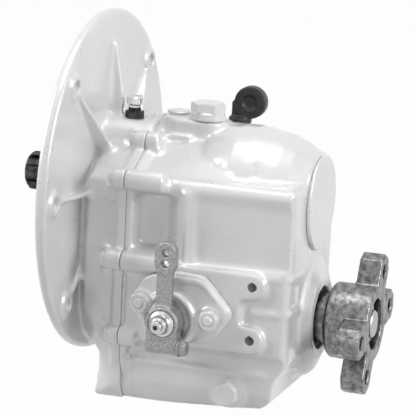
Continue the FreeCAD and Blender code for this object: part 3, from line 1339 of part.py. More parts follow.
def shift_lever():
    """Clamp lever with a long eye that has two cable holes."""
    hub_end = LEVER_HUB_Y0 + LEVER_HUB_L
    arm_y0 = LEVER_ARM_BACK_Y - LEVER_ARM_T
    hub = lathe_y([
        (LEVER_HUB_Y0, 0.0), (LEVER_HUB_Y0, LEVER_HUB_R - 1.0), (LEVER_HUB_Y0 + 1.0, LEVER_HUB_R),
        (hub_end - 1.0, LEVER_HUB_R), (hub_end, LEVER_HUB_R - 1.0), (hub_end, 0.0),
    ], SHIFT_X, SHIFT_Z)
    half = LEVER_ARM_W / 2
    arm = prism_y([
        (SHIFT_X - half, SHIFT_Z, 0.0),
        (SHIFT_X + half, SHIFT_Z, 0.0),
        (SHIFT_X + half, LEVER_EYE_LOW_Z + 8.0, 0.0),
        (SHIFT_X - half, LEVER_EYE_LOW_Z + 8.0, 0.0),
    ], arm_y0, arm_y0 + LEVER_ARM_T)
    eye_half = LEVER_EYE_W / 2
    eye = prism_y([
        (SHIFT_X - eye_half, LEVER_EYE_LOW_Z, eye_half - 0.1),
        (SHIFT_X + eye_half, LEVER_EYE_LOW_Z, eye_half - 0.1),
        (SHIFT_X + eye_half, LEVER_EYE_TOP_Z, eye_half - 0.1),
        (SHIFT_X - eye_half, LEVER_EYE_TOP_Z, eye_half - 0.1),
    ], arm_y0 - 0.7, arm_y0 - 0.7 + LEVER_EYE_T)
    clamp = prism_y([
        (SHIFT_X - CLAMP_HALF_X, SHIFT_Z - 6.0, 0.0),
        (SHIFT_X - CLAMP_HALF_X, CLAMP_Z - CLAMP_EAR_R, 2.0),
        (SHIFT_X + CLAMP_HALF_X, CLAMP_Z - CLAMP_EAR_R, 2.0),
        (SHIFT_X + CLAMP_HALF_X, SHIFT_Z - 6.0, 0.0),
    ], LEVER_HUB_Y0 + 1.0, LEVER_HUB_Y0 + 1.0 + 2 * CLAMP_EAR_R)
    bolt_y = LEVER_HUB_Y0 + 1.0 + CLAMP_EAR_R
    barrel_round = cyl_x(CLAMP_EAR_R, SHIFT_X - CLAMP_HALF_X, SHIFT_X + CLAMP_HALF_X, bolt_y, CLAMP_Z)
    above = block(SHIFT_X - 20.0, SHIFT_X + 20.0, -FAR, 0.0, CLAMP_Z, SHIFT_Z)
    clamp = fuse([clamp.common(above), barrel_round])
    cuts = [
        cyl_y(SHIFT_SHAFT_R + SEAT_FIT, -FAR, 0.0, SHIFT_X, SHIFT_Z),
        block(SHIFT_X - CLAMP_SLOT_W / 2, SHIFT_X + CLAMP_SLOT_W / 2, -FAR, 0.0, CLAMP_Z - 10.0, SHIFT_Z),
        cyl_x(CLAMP_BOLT_R + RUN_FIT, SHIFT_X - 20.0, SHIFT_X + 20.0, bolt_y, CLAMP_Z),
    ]
    cuts += [cyl_y(LEVER_HOLE_R, -FAR, 0.0, SHIFT_X, z) for z in LEVER_HOLES_Z]
    return cut(fuse([hub, arm, eye, clamp]), cuts)


def lever_clamp_bolt():
    y = LEVER_HUB_Y0 + 1.0 + CLAMP_EAR_R
    x1 = SHIFT_X + CLAMP_HALF_X
    washer = cyl_x(CLAMP_EAR_R + 0.8, x1, x1 + 1.4, y, CLAMP_Z)
    head = prism_x(shifted(hexagon(10.0, 90.0), y, CLAMP_Z), x1 + 1.4, x1 + 6.4)
    crown = Part.makeCone(6.6, 4.8, 5.0, Vector(x1 + 1.4, y, CLAMP_Z), X_AXIS)
    shank = cyl_x(CLAMP_BOLT_R, SHIFT_X - CLAMP_HALF_X - 1.0, x1, y, CLAMP_Z)
    return fuse([washer, head.common(crown), shank])


def filler_plug():
    head_z = FILLER_PAD_Z + 5.6
    head = prism_z(shifted(hexagon(22.0, 10.0), FILLER_X, FILLER_Y), head_z, head_z + 6.6)
    crown = lathe_z([
        (head_z, 0.0), (head_z, FILLER_HEAD_R), (head_z + 5.4, FILLER_HEAD_R),
        (head_z + 6.6, FILLER_HEAD_R - 2.4), (head_z + 6.6, 0.0),
    ], FILLER_X, FILLER_Y)
    flange = lathe_z([
        (FILLER_PAD_Z + 2.0, 0.0), (FILLER_PAD_Z + 2.0, FILLER_HEAD_R - 0.6),
        (head_z - 1.0, FILLER_HEAD_R - 0.6), (head_z, FILLER_HEAD_R - 1.6), (head_z, 0.0),
    ], FILLER_X, FILLER_Y)
    thread = cyl_z(FILLER_HOLE_R, FILLER_PAD_Z - 13.0, FILLER_PAD_Z + 2.0, FILLER_X, FILLER_Y)
    return fuse([head.common(crown), flange, thread])


def filler_washer():
    ring = cyl_z(FILLER_HEAD_R + 0.6, FILLER_PAD_Z, FILLER_PAD_Z + 2.0, FILLER_X, FILLER_Y)
    return ring.cut(cyl_z(FILLER_HOLE_R + SEAT_FIT, 0.0, FAR, FILLER_X, FILLER_Y))


def blanking_plug():
    z0 = FILLER_PAD_Z
    return lathe_z([
        (z0 - 9.0, 0.0), (z0 - 9.0, 7.0), (z0, 7.0), (z0, 9.4), (z0 + 1.0, 9.4), (z0 + 1.8, 8.4), (z0 + 1.8, 0.0),
    ], BLANK_X, BLANK_Y)


def breather_body():
    z0 = BREATHER_SEAT_Z
    base = prism_z(shifted(hexagon(12.0, 20.0), BREATHER_X, 0.0), z0, z0 + 5.5)
    neck_part = lathe_z([
        (z0 - 8.0, 0.0), (z0 - 8.0, 4.1), (z0 + 1.0, 4.1), (z0 + 1.0, 5.0), (z0 + 8.0, 4.6), (z0 + 8.0, 0.0),
    ], BREATHER_X, 0.0)
    return fuse([base, neck_part])


def breather_cap():
    z0 = BREATHER_SEAT_Z + 8.0
    return lathe_z([
        (z0 + 0.05, 0.0), (z0 + 0.05, 4.4), (z0 + 1.6, 4.6), (z0 + 2.6, 6.0), (z0 + 7.0, 6.2),
        (z0 + 8.3, 5.2), (z0 + 8.3, 0.0),
    ], BREATHER_X, 0.0)


def dipstick_handle():
    """Flat moulded pull with a blind dish on each side."""
    centre_x = DIPSTICK_X + DIPSTICK_DISC_DX
    centre_z = DIPSTICK_SEAT_Z + DIPSTICK_DISC_DZ
    disc = cyl_y(DIPSTICK_DISC_R, DIPSTICK_Y - 4.5, DIPSTICK_Y + 4.5, centre_x, centre_z)
    stem = block(DIPSTICK_X - 6.0, DIPSTICK_X + 5.5, DIPSTICK_Y - 4.0, DIPSTICK_Y + 4.0, DIPSTICK_SEAT_Z + 2.0, centre_z)
    base = cyl_z(8.5, DIPSTICK_SEAT_Z + FACE_GAP, DIPSTICK_SEAT_Z + 5.0, DIPSTICK_X, DIPSTICK_Y)
    dish = [
        cyl_y(5.5, DIPSTICK_Y - 5.0, DIPSTICK_Y - 2.5, centre_x, centre_z),
        cyl_y(5.5, DIPSTICK_Y + 2.5, DIPSTICK_Y + 5.0, centre_x, centre_z),
        cyl_z(DIPSTICK_R + SEAT_FIT, 0.0, DIPSTICK_SEAT_Z + 9.0, DIPSTICK_X, DIPSTICK_Y),
    ]
    return cut(fuse([disc, stem, base]), dish)


def dipstick_rod():
    return cyl_z(DIPSTICK_R, DIPSTICK_TIP_Z, DIPSTICK_SEAT_Z + 8.9, DIPSTICK_X, DIPSTICK_Y)


def drain_plug():
    seat = DRAIN_FACE_Y - DRAIN_WASHER_T
    top = seat - DRAIN_HEAD_H
    corner = DRAIN_AF / math.sqrt(3)
    head = prism_y(shifted(hexagon(DRAIN_AF, 30.0), DRAIN_X, DRAIN_Z), top, seat)
    crown = lathe_y([
        (top, 0.0),
        (top, corner - 1.4),
        (top + 1.2, corner),
        (seat, corner),
        (seat, 0.0),
    ], DRAIN_X, DRAIN_Z)
    return fuse([head.common(crown), cyl_y(DRAIN_THREAD_R, seat, seat + 13.0, DRAIN_X, DRAIN_Z)])


def drain_washer():
    ring = cyl_y(DRAIN_WASHER_R, DRAIN_FACE_Y - DRAIN_WASHER_T, DRAIN_FACE_Y, DRAIN_X, DRAIN_Z)
    return ring.cut(cyl_y(DRAIN_THREAD_R + SEAT_FIT, -FAR, 0.0, DRAIN_X, DRAIN_Z))


def build_casing():
    save("front_housing", [front_housing()])
    save("rear_housing", [rear_housing()])
    save("case_gasket", [case_gasket()])
    save("case_bolts", case_bolts())
    save("dowel_pins", dowel_pins())
    save("rear_bearing_cap", [rear_bearing_cap()])
    save("input_seal", [lip_seal(SEAL_X, SEAL_X + SEAL_W, SEAL_R, JOURNAL_R, 0.0)])
    save("output_seal", [lip_seal(OUTPUT_SEAL_X, OUTPUT_SEAL_X + SEAL_W, OUTPUT_SEAL_R, COUPLING_JOURNAL_R, OUT_Z)])


def build_bearings():
    places = {
        "input_front": (FRONT_BEARING_X, BEARING_W, JOURNAL_R, FRONT_BEARING_R, 0.0),
        "input_rear": (INPUT_REAR_BEARING_X, INPUT_REAR_BEARING_W, INPUT_REAR_R, INPUT_REAR_BEARING_R, 0.0),
        "output_front": (FRONT_BEARING_X, BEARING_W, JOURNAL_R, FRONT_BEARING_R, OUT_Z),
        "output_rear": (OUTPUT_REAR_BEARING_X, BEARING_W, JOURNAL_R, FRONT_BEARING_R, OUT_Z),
    }
    for name, place in places.items():
        outer, inner, rollers = bearing(*place)
        save(name + "_bearing_outer_ring", [outer])
        save(name + "_bearing_inner_ring", [inner])
        save(name + "_bearing_rollers", rollers)


def build_gear_train():
    forward, idler, reverse = gear_phases()
    save("input_shaft", [input_shaft()])
    save("forward_pinion", [pinion(FORWARD_PINION_TEETH, 0.0, FORWARD_X0, FORWARD_W)])
    save("reverse_pinion", [pinion(REVERSE_PINION_TEETH, 0.0, REVERSE_X0, REVERSE_W)])
    save("forward_gear", [loose_gear(FORWARD_GEAR_TEETH, forward, FORWARD_X0, FORWARD_W, -1)])
    save("reverse_gear", [loose_gear(REVERSE_GEAR_TEETH, reverse, REVERSE_X0, REVERSE_W, 1)])
    save("forward_gear_bush", [gear_bush(FORWARD_X0, FORWARD_W)])
    save("reverse_gear_bush", [gear_bush(REVERSE_X0, REVERSE_W)])
    save("idler_gear", [idler_gear()])
    save("idler_bush", [idler_bush()])
    save("idler_shaft", [idler_shaft()])


def build_clutch():
    save("forward_outer_discs", outer_discs(-1))
    save("forward_inner_discs", inner_discs(-1))
    save("reverse_outer_discs", outer_discs(1))
    save("reverse_inner_discs", inner_discs(1))
    save("pressure_plates", [pressure_plate(1), pressure_plate(-1)])
    save("clutch_hub", [clutch_hub()])
    save("shift_sleeve", [shift_sleeve()])


def build_output():
    save("output_shaft", [output_shaft()])
    save("thrust_washers", thrust_washers())
    save("output_coupling", [output_coupling()])
    save("output_nut", [output_nut()])


def build_shift():
    save("shift_cover", [shift_cover()])
    save("cover_gasket", [cover_gasket()])
    save("cover_studs", cover_studs())
    save("cover_nuts", cover_nuts())
    save("shift_shaft", [shift_shaft()])
    save("shift_shaft_ring", [shaft_ring()])
    save("shift_washer", [shift_washer()])
    save("shift_lever", [shift_lever()])
    save("lever_clamp_bolt", [lever_clamp_bolt()])
    save("shift_shoe", [shift_shoe()])


def build_fittings():
    save("filler_plug", [filler_plug()])
    save("filler_washer", [filler_washer()])
    save("blanking_plug", [blanking_plug()])
    save("breather_body", [breather_body()])
    save("breather_cap", [breather_cap()])
    save("dipstick_handle", [dipstick_handle()])
    save("dipstick_rod", [dipstick_rod()])
    save("drain_plug", [drain_plug()])
    save("drain_washer", [drain_washer()])


os.makedirs("parts", exist_ok=True)
build_casing()
build_bearings()
build_gear_train()
build_clutch()
build_output()
build_shift()
build_fittings()
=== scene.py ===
"""Looks of a small marine gearbox: painted castings, steel coupling, black handle.

The frame's own axes: metres, X aft along the shafts, -Y towards the shift lever, Z up.
Each casting is the CAD solid with its inner corners filled and its outer edges eased, as a
foundry leaves them, while the machined holes keep their crisp edges.
"""
import json
import math
import bpy
import numpy as np
import openvdb
from mathutils import Matrix, Vector


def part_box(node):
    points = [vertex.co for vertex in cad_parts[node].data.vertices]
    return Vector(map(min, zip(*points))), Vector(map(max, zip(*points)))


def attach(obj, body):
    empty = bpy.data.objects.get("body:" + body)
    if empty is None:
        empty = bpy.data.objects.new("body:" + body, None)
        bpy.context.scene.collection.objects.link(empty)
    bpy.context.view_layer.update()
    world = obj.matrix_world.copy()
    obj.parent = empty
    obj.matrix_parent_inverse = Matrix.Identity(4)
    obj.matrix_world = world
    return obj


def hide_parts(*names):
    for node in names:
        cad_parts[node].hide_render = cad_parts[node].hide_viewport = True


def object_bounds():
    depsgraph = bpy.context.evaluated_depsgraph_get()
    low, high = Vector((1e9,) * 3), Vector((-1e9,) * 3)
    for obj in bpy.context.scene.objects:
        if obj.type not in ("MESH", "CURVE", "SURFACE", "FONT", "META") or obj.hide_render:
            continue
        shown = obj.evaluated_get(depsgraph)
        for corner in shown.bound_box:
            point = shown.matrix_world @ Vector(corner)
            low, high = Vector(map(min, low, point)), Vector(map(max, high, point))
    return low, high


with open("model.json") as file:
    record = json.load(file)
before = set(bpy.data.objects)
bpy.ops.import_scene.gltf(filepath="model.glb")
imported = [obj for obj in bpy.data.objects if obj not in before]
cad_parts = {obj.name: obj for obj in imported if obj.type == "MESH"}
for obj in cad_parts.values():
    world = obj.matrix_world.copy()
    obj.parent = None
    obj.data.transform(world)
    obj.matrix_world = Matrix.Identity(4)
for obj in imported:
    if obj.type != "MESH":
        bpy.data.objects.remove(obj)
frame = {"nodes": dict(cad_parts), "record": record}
CAD_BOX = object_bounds()
NODES = frame["nodes"]
MOUNTS = {mount["name"]: mount for mount in frame["record"]["mounts"]}
BODY_OF = {
    node: body
    for body, nodes in frame["record"]["behaviour"]["bodies"].items()
    for node in nodes
}
MM = 0.001

# Camera, fitted to the photograph
CAMERA_AZIMUTH = 17.56      # degrees from straight at the lever side, towards the output end
CAMERA_ELEVATION = 11.65
CAMERA_ROLL = 2.99
CAMERA_DISTANCE = 1.8888
CAMERA_TARGET = Vector((0.0862, 0.0, -0.0135))
CAMERA_LENS = 225.0
SENSOR_WIDTH = 36.0

# Lamps: name, azimuth, elevation, distance, side of the square, power
LAMPS = (
    ("right", 78.0, 24.0, 1.8, 0.8, 17.0),
    ("left", -60.0, 28.0, 1.8, 0.8, 19.0),
    ("top", 10.0, 85.0, 1.5, 0.9, 8.0),
)
WORLD_FILL = 0.07           # strength of the world for the rays that light the gearbox
FLOOR_WHITE = 0.98          # share of plain white in the floor as the camera sees it

# Castings
HOUSING_VOXEL = 0.9 * MM
HOUSING_FILLET = 5.0 * MM
FIELD_LIMIT = 5.0           # distances are kept within so many voxels
REGION_FADE = 6.0 * MM      # soft border of a region with its own rounding
ZONE_FADE = 1.5 * MM        # soft border of a machined zone
PAST = 0.01                 # how far a box reaches past the piece it works on
LIP_TOP = 0.055             # top of the joint's lip


def direction(azimuth, elevation):
    """Unit vector from the gearbox towards a place round it; azimuth 0 faces the lever."""
    a = math.radians(azimuth)
    e = math.radians(elevation)
    return Vector((math.sin(a) * math.cos(e), -math.cos(a) * math.cos(e), math.sin(e)))


# Making the castings


def triangles(obj):
    """Corner points and triangles of a mesh, in metres."""
    mesh = obj.data
    mesh.calc_loop_triangles()
    points = np.zeros(len(mesh.vertices) * 3, np.float32)
    mesh.vertices.foreach_get("co", points)
    corners = np.zeros(len(mesh.loop_triangles) * 3, np.int32)
    mesh.loop_triangles.foreach_get("vertices", corners)
    return points.reshape(-1, 3), corners.reshape(-1, 3)


def level_set(points, voxel, reach, **faces):
    """Signed distance of a closed surface, exact within reach on both sides."""
    transform = openvdb.createLinearTransform(voxelSize=voxel)
    band = reach / voxel + 3.0
    return openvdb.FloatGrid.createLevelSetFromPolygons(
        points, transform=transform, halfWidth=band, **faces
    )


def offset(points, voxel, distance, **faces):
    """The surface moved outward by a distance, or inward by a negative one."""
    grid = level_set(points, voxel, abs(distance), **faces)
    return grid.convertToQuads(isovalue=distance)


def dense(grid, low, shape):
    values = np.full(shape, grid.background, np.float32)
    grid.copyToArray(values, ijk=tuple(int(v) for v in low))
    return values


def blurred(values, sigma):
    """Gaussian blur; sigma is in voxels."""
    reach = max(1, int(math.ceil(2.5 * sigma)))
    weights = [math.exp(-0.5 * (step / sigma) ** 2) for step in range(-reach, reach + 1)]
    total = sum(weights)
    for axis in range(3):
        borders = [(reach, reach) if k == axis else (0, 0) for k in range(3)]
        padded = np.pad(values, borders, mode="edge")
        size = values.shape[axis]
        values = np.zeros_like(values)
        for step, weight in enumerate(weights):
            window = [slice(None)] * 3
            window[axis] = slice(step, step + size)
            values += (weight / total) * padded[tuple(window)]
    return values


def crispness(low, shape, voxel, zones):
    """1 inside the machined zones, 0 away from them; a zone is (point, axis, radius, half length)."""
    weight = np.zeros(shape, np.float32)
    axes = [(low[k] + np.arange(shape[k], dtype=np.float32)) * voxel for k in range(3)]
    x = axes[0][:, None, None]
    y = axes[1][None, :, None]
    z = axes[2][None, None, :]
    for point, axis, radius, half in zones:
        dx, dy, dz = x - point[0], y - point[1], z - point[2]
        along = dx * axis[0] + dy * axis[1] + dz * axis[2]
        across = np.sqrt(np.maximum(dx * dx + dy * dy + dz * dz - along * along, 0.0))
        depth = np.minimum(radius - across, half - np.abs(along))
        weight = np.maximum(weight, np.clip(depth / ZONE_FADE + 0.5, 0.0, 1.0))
    return weight


def inside_boxes(low, shape, voxel, boxes, fade):
    """1 inside the boxes and 0 away from them, with a soft border."""
    weight = np.zeros(shape, np.float32)
    axes = [(low[k] + np.arange(shape[k], dtype=np.float32)) * voxel for k in range(3)]
    for box_low, box_high in boxes:
        sides = []
        for k in range(3):
            depth = np.minimum(axes[k] - box_low[k], box_high[k] - axes[k]) / fade + 0.5
            sides.append(np.clip(depth, 0.0, 1.0))
        inside = np.minimum(sides[0][:, None, None], sides[1][None, :, None])
        weight = np.maximum(weight, np.minimum(inside, sides[2][None, None, :]))
    return weight


def eased_field(points, tris, voxel, fillet, edge, low, shape):
    """Distance field of the solid with its inner corners filled and its outer edges rounded."""
    grown, quads = offset(points, voxel, fillet, triangles=tris)
    shrunk, quads = offset(grown, voxel, -fillet - edge, quads=quads)
    return dense(level_set(shrunk, voxel, edge + 3 * voxel, quads=quads), low, shape) - edge


def casting(node, voxel, fillet, edge, zones=(), regions=(), soften=0.7):
    """A smooth cast piece that stands for a CAD node; a region is (fillet, edge, boxes)."""
    source = NODES[node]
    points, tris = triangles(source)
    margin = int(3 + edge / voxel)
    low = np.floor(points.min(0) / voxel).astype(int) - margin
    shape = tuple(np.ceil(points.max(0) / voxel).astype(int) + margin - low)
    sharp = dense(level_set(points, voxel, 3 * voxel, triangles=tris), low, shape)
    limit = FIELD_LIMIT * voxel
    eased = np.clip(eased_field(points, tris, voxel, fillet, edge, low, shape), -limit, limit)
    for own_fillet, own_edge, boxes in regions:
        own = eased_field(points, tris, voxel, own_fillet, own_edge, low, shape)
        own = np.clip(own, -limit, limit)
        weight = inside_boxes(low, shape, voxel, boxes, REGION_FADE)
        eased = eased * (1.0 - weight) + own * weight
    eased = blurred(eased, soften)
    if zones:
        weight = crispness(low, shape, voxel, zones)
        eased = eased * (1.0 - weight) + np.clip(sharp, -limit, limit) * weight
    grid = openvdb.FloatGrid(limit)
    grid.transform = openvdb.createLinearTransform(voxelSize=voxel)
    grid.copyFromArray(eased, ijk=tuple(int(v) for v in low))
    grid.gridClass = openvdb.GridClass.LEVEL_SET
    corners, faces = grid.convertToQuads(isovalue=0.0)
    return piece_from(node + "_cast", corners, faces[:, ::-1], node)


def piece_from(name, corners, faces, node):
    mesh = bpy.data.meshes.new(name)
    mesh.vertices.add(len(corners))
    mesh.vertices.foreach_set("co", np.asarray(corners, np.float32).ravel())
    mesh.loops.add(faces.size)
    mesh.loops.foreach_set("vertex_index", np.asarray(faces, np.int32).ravel())
    mesh.polygons.add(len(faces))
    starts = np.arange(0, faces.size, faces.shape[1], dtype=np.int32)
    mesh.polygons.foreach_set("loop_start", starts)
    mesh.polygons.foreach_set("use_smooth", np.ones(len(faces), bool))
    mesh.update(calc_edges=True)
    mesh.validate()
    piece = bpy.data.objects.new(name, mesh)
    bpy.context.scene.collection.objects.link(piece)
    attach(piece, BODY_OF[node])
    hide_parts(node)
    return piece


def slot_of(node):
    for part in frame["record"]["subparts"]:
        if part["node"] == node:
            return part["material_slot"]
    return None


def hole_zone(mount, extra, half):
    """Machined zone round a hole that the record states as a mount."""
    hole = MOUNTS[mount]
    return (hole["pos_m"], hole["axis"], hole["dims"]["r_mm"] * MM + extra, half)


# Materials


def material(name, colour, metallic, roughness, coat=0.0):
    """A principled material with its uniform values on the shader itself."""
    made = bpy.data.materials.new(name)
    made.use_nodes = True
    shader = made.node_tree.nodes["Principled BSDF"]
    shader.inputs["Base Color"].default_value = (*colour, 1.0)
    shader.inputs["Metallic"].default_value = metallic
    shader.inputs["Roughness"].default_value = roughness
    shader.inputs["Coat Weight"].default_value = coat
    shader.inputs["Coat Roughness"].default_value = 0.12
    return made, made.node_tree, shader


def link(tree, source, target):
    tree.links.new(source, target)


def noise(tree, scale, detail=3.0, stretch=(1.0, 1.0, 1.0)):
    """Noise in the object's own metres."""
    place = tree.nodes.new("ShaderNodeTexCoord")
    scaled = tree.nodes.new("ShaderNodeMapping")
    scaled.inputs["Scale"].default_value = stretch
    texture = tree.nodes.new("ShaderNodeTexNoise")
    texture.inputs["Scale"].default_value = scale
    texture.inputs["Detail"].default_value = detail
    link(tree, place.outputs["Object"], scaled.inputs["Vector"])
    link(tree, scaled.outputs["Vector"], texture.inputs["Vector"])
    return texture.outputs["Fac"]


def ramp(tree, value, low, high, from_min=0.3, from_max=0.7):
    """Blend of two colours along a value."""
    node = tree.nodes.new("ShaderNodeValToRGB")
    node.color_ramp.elements[0].position = from_min
    node.color_ramp.elements[1].position = from_max
    node.color_ramp.elements[0].color = (*low, 1.0)
    node.color_ramp.elements[1].color = (*high, 1.0)
    link(tree, value, node.inputs["Fac"])
    return node.outputs["Color"]


def spread(tree, value, low, high):
    node = tree.nodes.new("ShaderNodeMapRange")
    node.inputs["From Min"].default_value = 0.3
    node.inputs["From Max"].default_value = 0.7
    node.inputs["To Min"].default_value = low
    node.inputs["To Max"].default_value = high
    link(tree, value, node.inputs["Value"])
    return node.outputs["Result"]


def bump(tree, shader, value, depth, strength=1.0):
    node = tree.nodes.new("ShaderNodeBump")
    node.inputs["Distance"].default_value = depth
    node.inputs["Strength"].default_value = strength
    link(tree, value, node.inputs["Height"])
    link(tree, node.outputs["Normal"], shader.inputs["Normal"])
    return node


def casting_paint():
    """Silver-white gloss enamel over a fine cast skin."""
    made, tree, shader = material("silver_paint", (0.83, 0.83, 0.835), 0.18, 0.32, 0.45)
    mottle = noise(tree, 30.0, 3.0)
    link(
        tree,
        ramp(tree, mottle, (0.81, 0.812, 0.82), (0.86, 0.86, 0.862)),
        shader.inputs["Base Color"],
    )
    link(tree, spread(tree, noise(tree, 70.0, 2.0), 0.27, 0.37), shader.inputs["Roughness"])
    bump(tree, shader, noise(tree, 150.0, 2.0), 0.00012, 0.4)
    return made


def bright_steel():
    """Turned steel with a slightly uneven sheen."""
    made, tree, shader = material("bright_steel", (0.60, 0.59, 0.57), 1.0, 0.25)
    link(
        tree,
        ramp(tree, noise(tree, 60.0, 5.0), (0.42, 0.415, 0.41), (0.70, 0.69, 0.67)),
        shader.inputs["Base Color"],
    )
    link(tree, spread(tree, noise(tree, 140.0, 3.0), 0.18, 0.42), shader.inputs["Roughness"])
    bump(tree, shader, noise(tree, 900.0, 2.0), 0.00008, 0.5)
    return made


def coupling_steel():
    """Forged coupling: steel with a fine random grain, its base colour darkened as painted reflection
    of dark surroundings.
    """
    made, tree, shader = material("coupling_steel", (0.28, 0.28, 0.28), 1.0, 0.3)
    # The noise grain is random; the dark ramp colours are painted reflection, standing in for the dark
    # bands the steel would mirror.
    grain_and_painted_reflection = noise(tree, 260.0, 5.0)
    link(
        tree,
        ramp(tree, grain_and_painted_reflection, (0.09, 0.09, 0.09), (0.34, 0.34, 0.34)),
        shader.inputs["Base Color"],
    )
    link(tree, spread(tree, noise(tree, 120.0, 4.0), 0.20, 0.46), shader.inputs["Roughness"])
    bump(tree, shader, noise(tree, 420.0, 5.0), 0.00035, 0.6)
    return made


def zinc_steel():
    """Rough plated lever with a grainy skin."""
    made, tree, shader = material("zinc_steel", (0.55, 0.55, 0.55), 0.75, 0.42)
    link(
        tree,
        ramp(tree, noise(tree, 900.0, 3.0), (0.24, 0.24, 0.24), (0.46, 0.46, 0.46)),
        shader.inputs["Base Color"],
    )
    link(tree, spread(tree, noise(tree, 300.0, 3.0), 0.32, 0.55), shader.inputs["Roughness"])
    bump(tree, shader, noise(tree, 600.0, 4.0), 0.0006, 0.9)
    return made


def black_steel():
    """Oiled black steel with rubbed highlights."""
    made, tree, shader = material("black_steel", (0.03, 0.03, 0.032), 0.9, 0.30)
    link(
        tree,
        ramp(tree, noise(tree, 200.0, 4.0), (0.015, 0.015, 0.017), (0.09, 0.09, 0.095)),
        shader.inputs["Base Color"],
    )
    link(tree, spread(tree, noise(tree, 300.0, 3.0), 0.2, 0.4), shader.inputs["Roughness"])
    return made


def chrome():
    made, tree, shader = material("chrome", (0.72, 0.72, 0.73), 1.0, 0.08)
    link(tree, spread(tree, noise(tree, 200.0, 2.0), 0.05, 0.14), shader.inputs["Roughness"])
    return made


def gear_steel():
    made, tree, shader = material("gear_steel", (0.45, 0.45, 0.45), 1.0, 0.3)
    link(tree, spread(tree, noise(tree, 150.0, 3.0), 0.25, 0.45), shader.inputs["Roughness"])
    return made


def bronze():
    made, tree, shader = material("bronze", (0.52, 0.36, 0.18), 1.0, 0.35)
    link(
        tree,
        ramp(tree, noise(tree, 180.0, 3.0), (0.42, 0.28, 0.13), (0.58, 0.42, 0.22)),
        shader.inputs["Base Color"],
    )
    return made


def copper():
    made, tree, shader = material("copper_washer", (0.62, 0.36, 0.22), 1.0, 0.35)
    link(tree, spread(tree, noise(tree, 250.0, 3.0), 0.28, 0.5), shader.inputs["Roughness"])
    return made


def rubber():
    made, tree, shader = material("rubber", (0.02, 0.02, 0.02), 0.0, 0.6)
    bump(tree, shader, noise(tree, 900.0, 2.0), 0.0001, 0.5)
    return made


def gasket():
    made, tree, shader = material("gasket", (0.30, 0.30, 0.29), 0.0, 0.8)
    bump(tree, shader, noise(tree, 1200.0, 2.0), 0.0001, 0.6)
    return made


def black_plastic():
    """Moulded nylon with a fine matt grain."""
    made, tree, shader = material("black_plastic", (0.018, 0.018, 0.019), 0.0, 0.42)
    link(
        tree,
        ramp(tree, noise(tree, 120.0, 3.0), (0.014, 0.014, 0.015), (0.026, 0.026, 0.027)),
        shader.inputs["Base Color"],
    )
    bump(tree, shader, noise(tree, 1400.0, 2.0), 0.0001, 0.6)
    return made


def dress(obj, made):
    obj.data.materials.clear()
    obj.data.materials.append(made)


# Stage


def area_light(name, azimuth, elevation, distance, side, power):
    lamp = bpy.data.lights.new(name, "AREA")
    lamp.shape = "RECTANGLE"
    lamp.size = side
    lamp.size_y = side
    lamp.energy = power
    obj = bpy.data.objects.new(name, lamp)
    away = direction(azimuth, elevation)
    obj.location = CAMERA_TARGET + away * distance
    obj.rotation_euler = away.to_track_quat("Z", "Y").to_euler()
    bpy.context.scene.collection.objects.link(obj)
    return obj


def add_camera():
    back = direction(CAMERA_AZIMUTH, CAMERA_ELEVATION)
    turn = back.to_track_quat("Z", "Y").to_matrix() @ Matrix.Rotation(math.radians(CAMERA_ROLL), 3, "Z")
    lens = bpy.data.cameras.new("camera")
    lens.lens = CAMERA_LENS
    lens.sensor_width = SENSOR_WIDTH
    lens.clip_start = 0.05
    obj = bpy.data.objects.new("camera", lens)
    obj.matrix_world = Matrix.Translation(CAMERA_TARGET + back * CAMERA_DISTANCE) @ turn.to_4x4()
    bpy.context.scene.collection.objects.link(obj)
    bpy.context.scene.camera = obj


def seen_directly(tree):
    """1 for camera, glossy and transmission rays."""
    path = tree.nodes.new("ShaderNodeLightPath")
    first = tree.nodes.new("ShaderNodeMath")
    first.operation = "MAXIMUM"
    link(tree, path.outputs["Is Camera Ray"], first.inputs[0])
    link(tree, path.outputs["Is Glossy Ray"], first.inputs[1])
    second = tree.nodes.new("ShaderNodeMath")
    second.operation = "MAXIMUM"
    link(tree, first.outputs[0], second.inputs[0])
    link(tree, path.outputs["Is Transmission Ray"], second.inputs[1])
    return second.outputs[0]


def add_world():
    world = bpy.data.worlds.new("studio")
    bpy.context.scene.world = world
    world.use_nodes = True
    tree = world.node_tree
    background = tree.nodes["Background"]
    mix = tree.nodes.new("ShaderNodeMapRange")
    mix.inputs["To Min"].default_value = WORLD_FILL
    mix.inputs["To Max"].default_value = 1.0
    link(tree, seen_directly(tree), mix.inputs["Value"])
    background.inputs["Color"].default_value = (1.0, 1.0, 1.0, 1.0)
    link(tree, mix.outputs["Result"], background.inputs["Strength"])


def add_floor():
    """Pale floor that is white to the camera apart from the gearbox's soft shadow."""
    half = 3.0
    z = CAD_BOX[0][2] - 0.2 * MM
    mesh = bpy.data.meshes.new("floor")
    corners = [(-half, -half, z), (half, -half, z), (half, half, z), (-half, half, z)]
    mesh.from_pydata(corners, [], [(0, 1, 2, 3)])
    floor = bpy.data.objects.new("floor", mesh)
    bpy.context.scene.collection.objects.link(floor)
    made, tree, shader = material("floor", (0.45, 0.45, 0.45), 0.0, 0.9)
    white = tree.nodes.new("ShaderNodeEmission")
    white.inputs["Color"].default_value = (1.0, 1.0, 1.0, 1.0)
    mix = tree.nodes.new("ShaderNodeMixShader")
    share = tree.nodes.new("ShaderNodeMapRange")
    share.inputs["To Max"].default_value = FLOOR_WHITE
    link(tree, seen_directly(tree), share.inputs["Value"])
    link(tree, share.outputs["Result"], mix.inputs["Fac"])
    link(tree, shader.outputs["BSDF"], mix.inputs[1])
    link(tree, white.outputs["Emission"], mix.inputs[2])
    link(tree, mix.outputs["Shader"], tree.nodes["Material Output"].inputs["Surface"])
    dress(floor, made)


# The gearbox

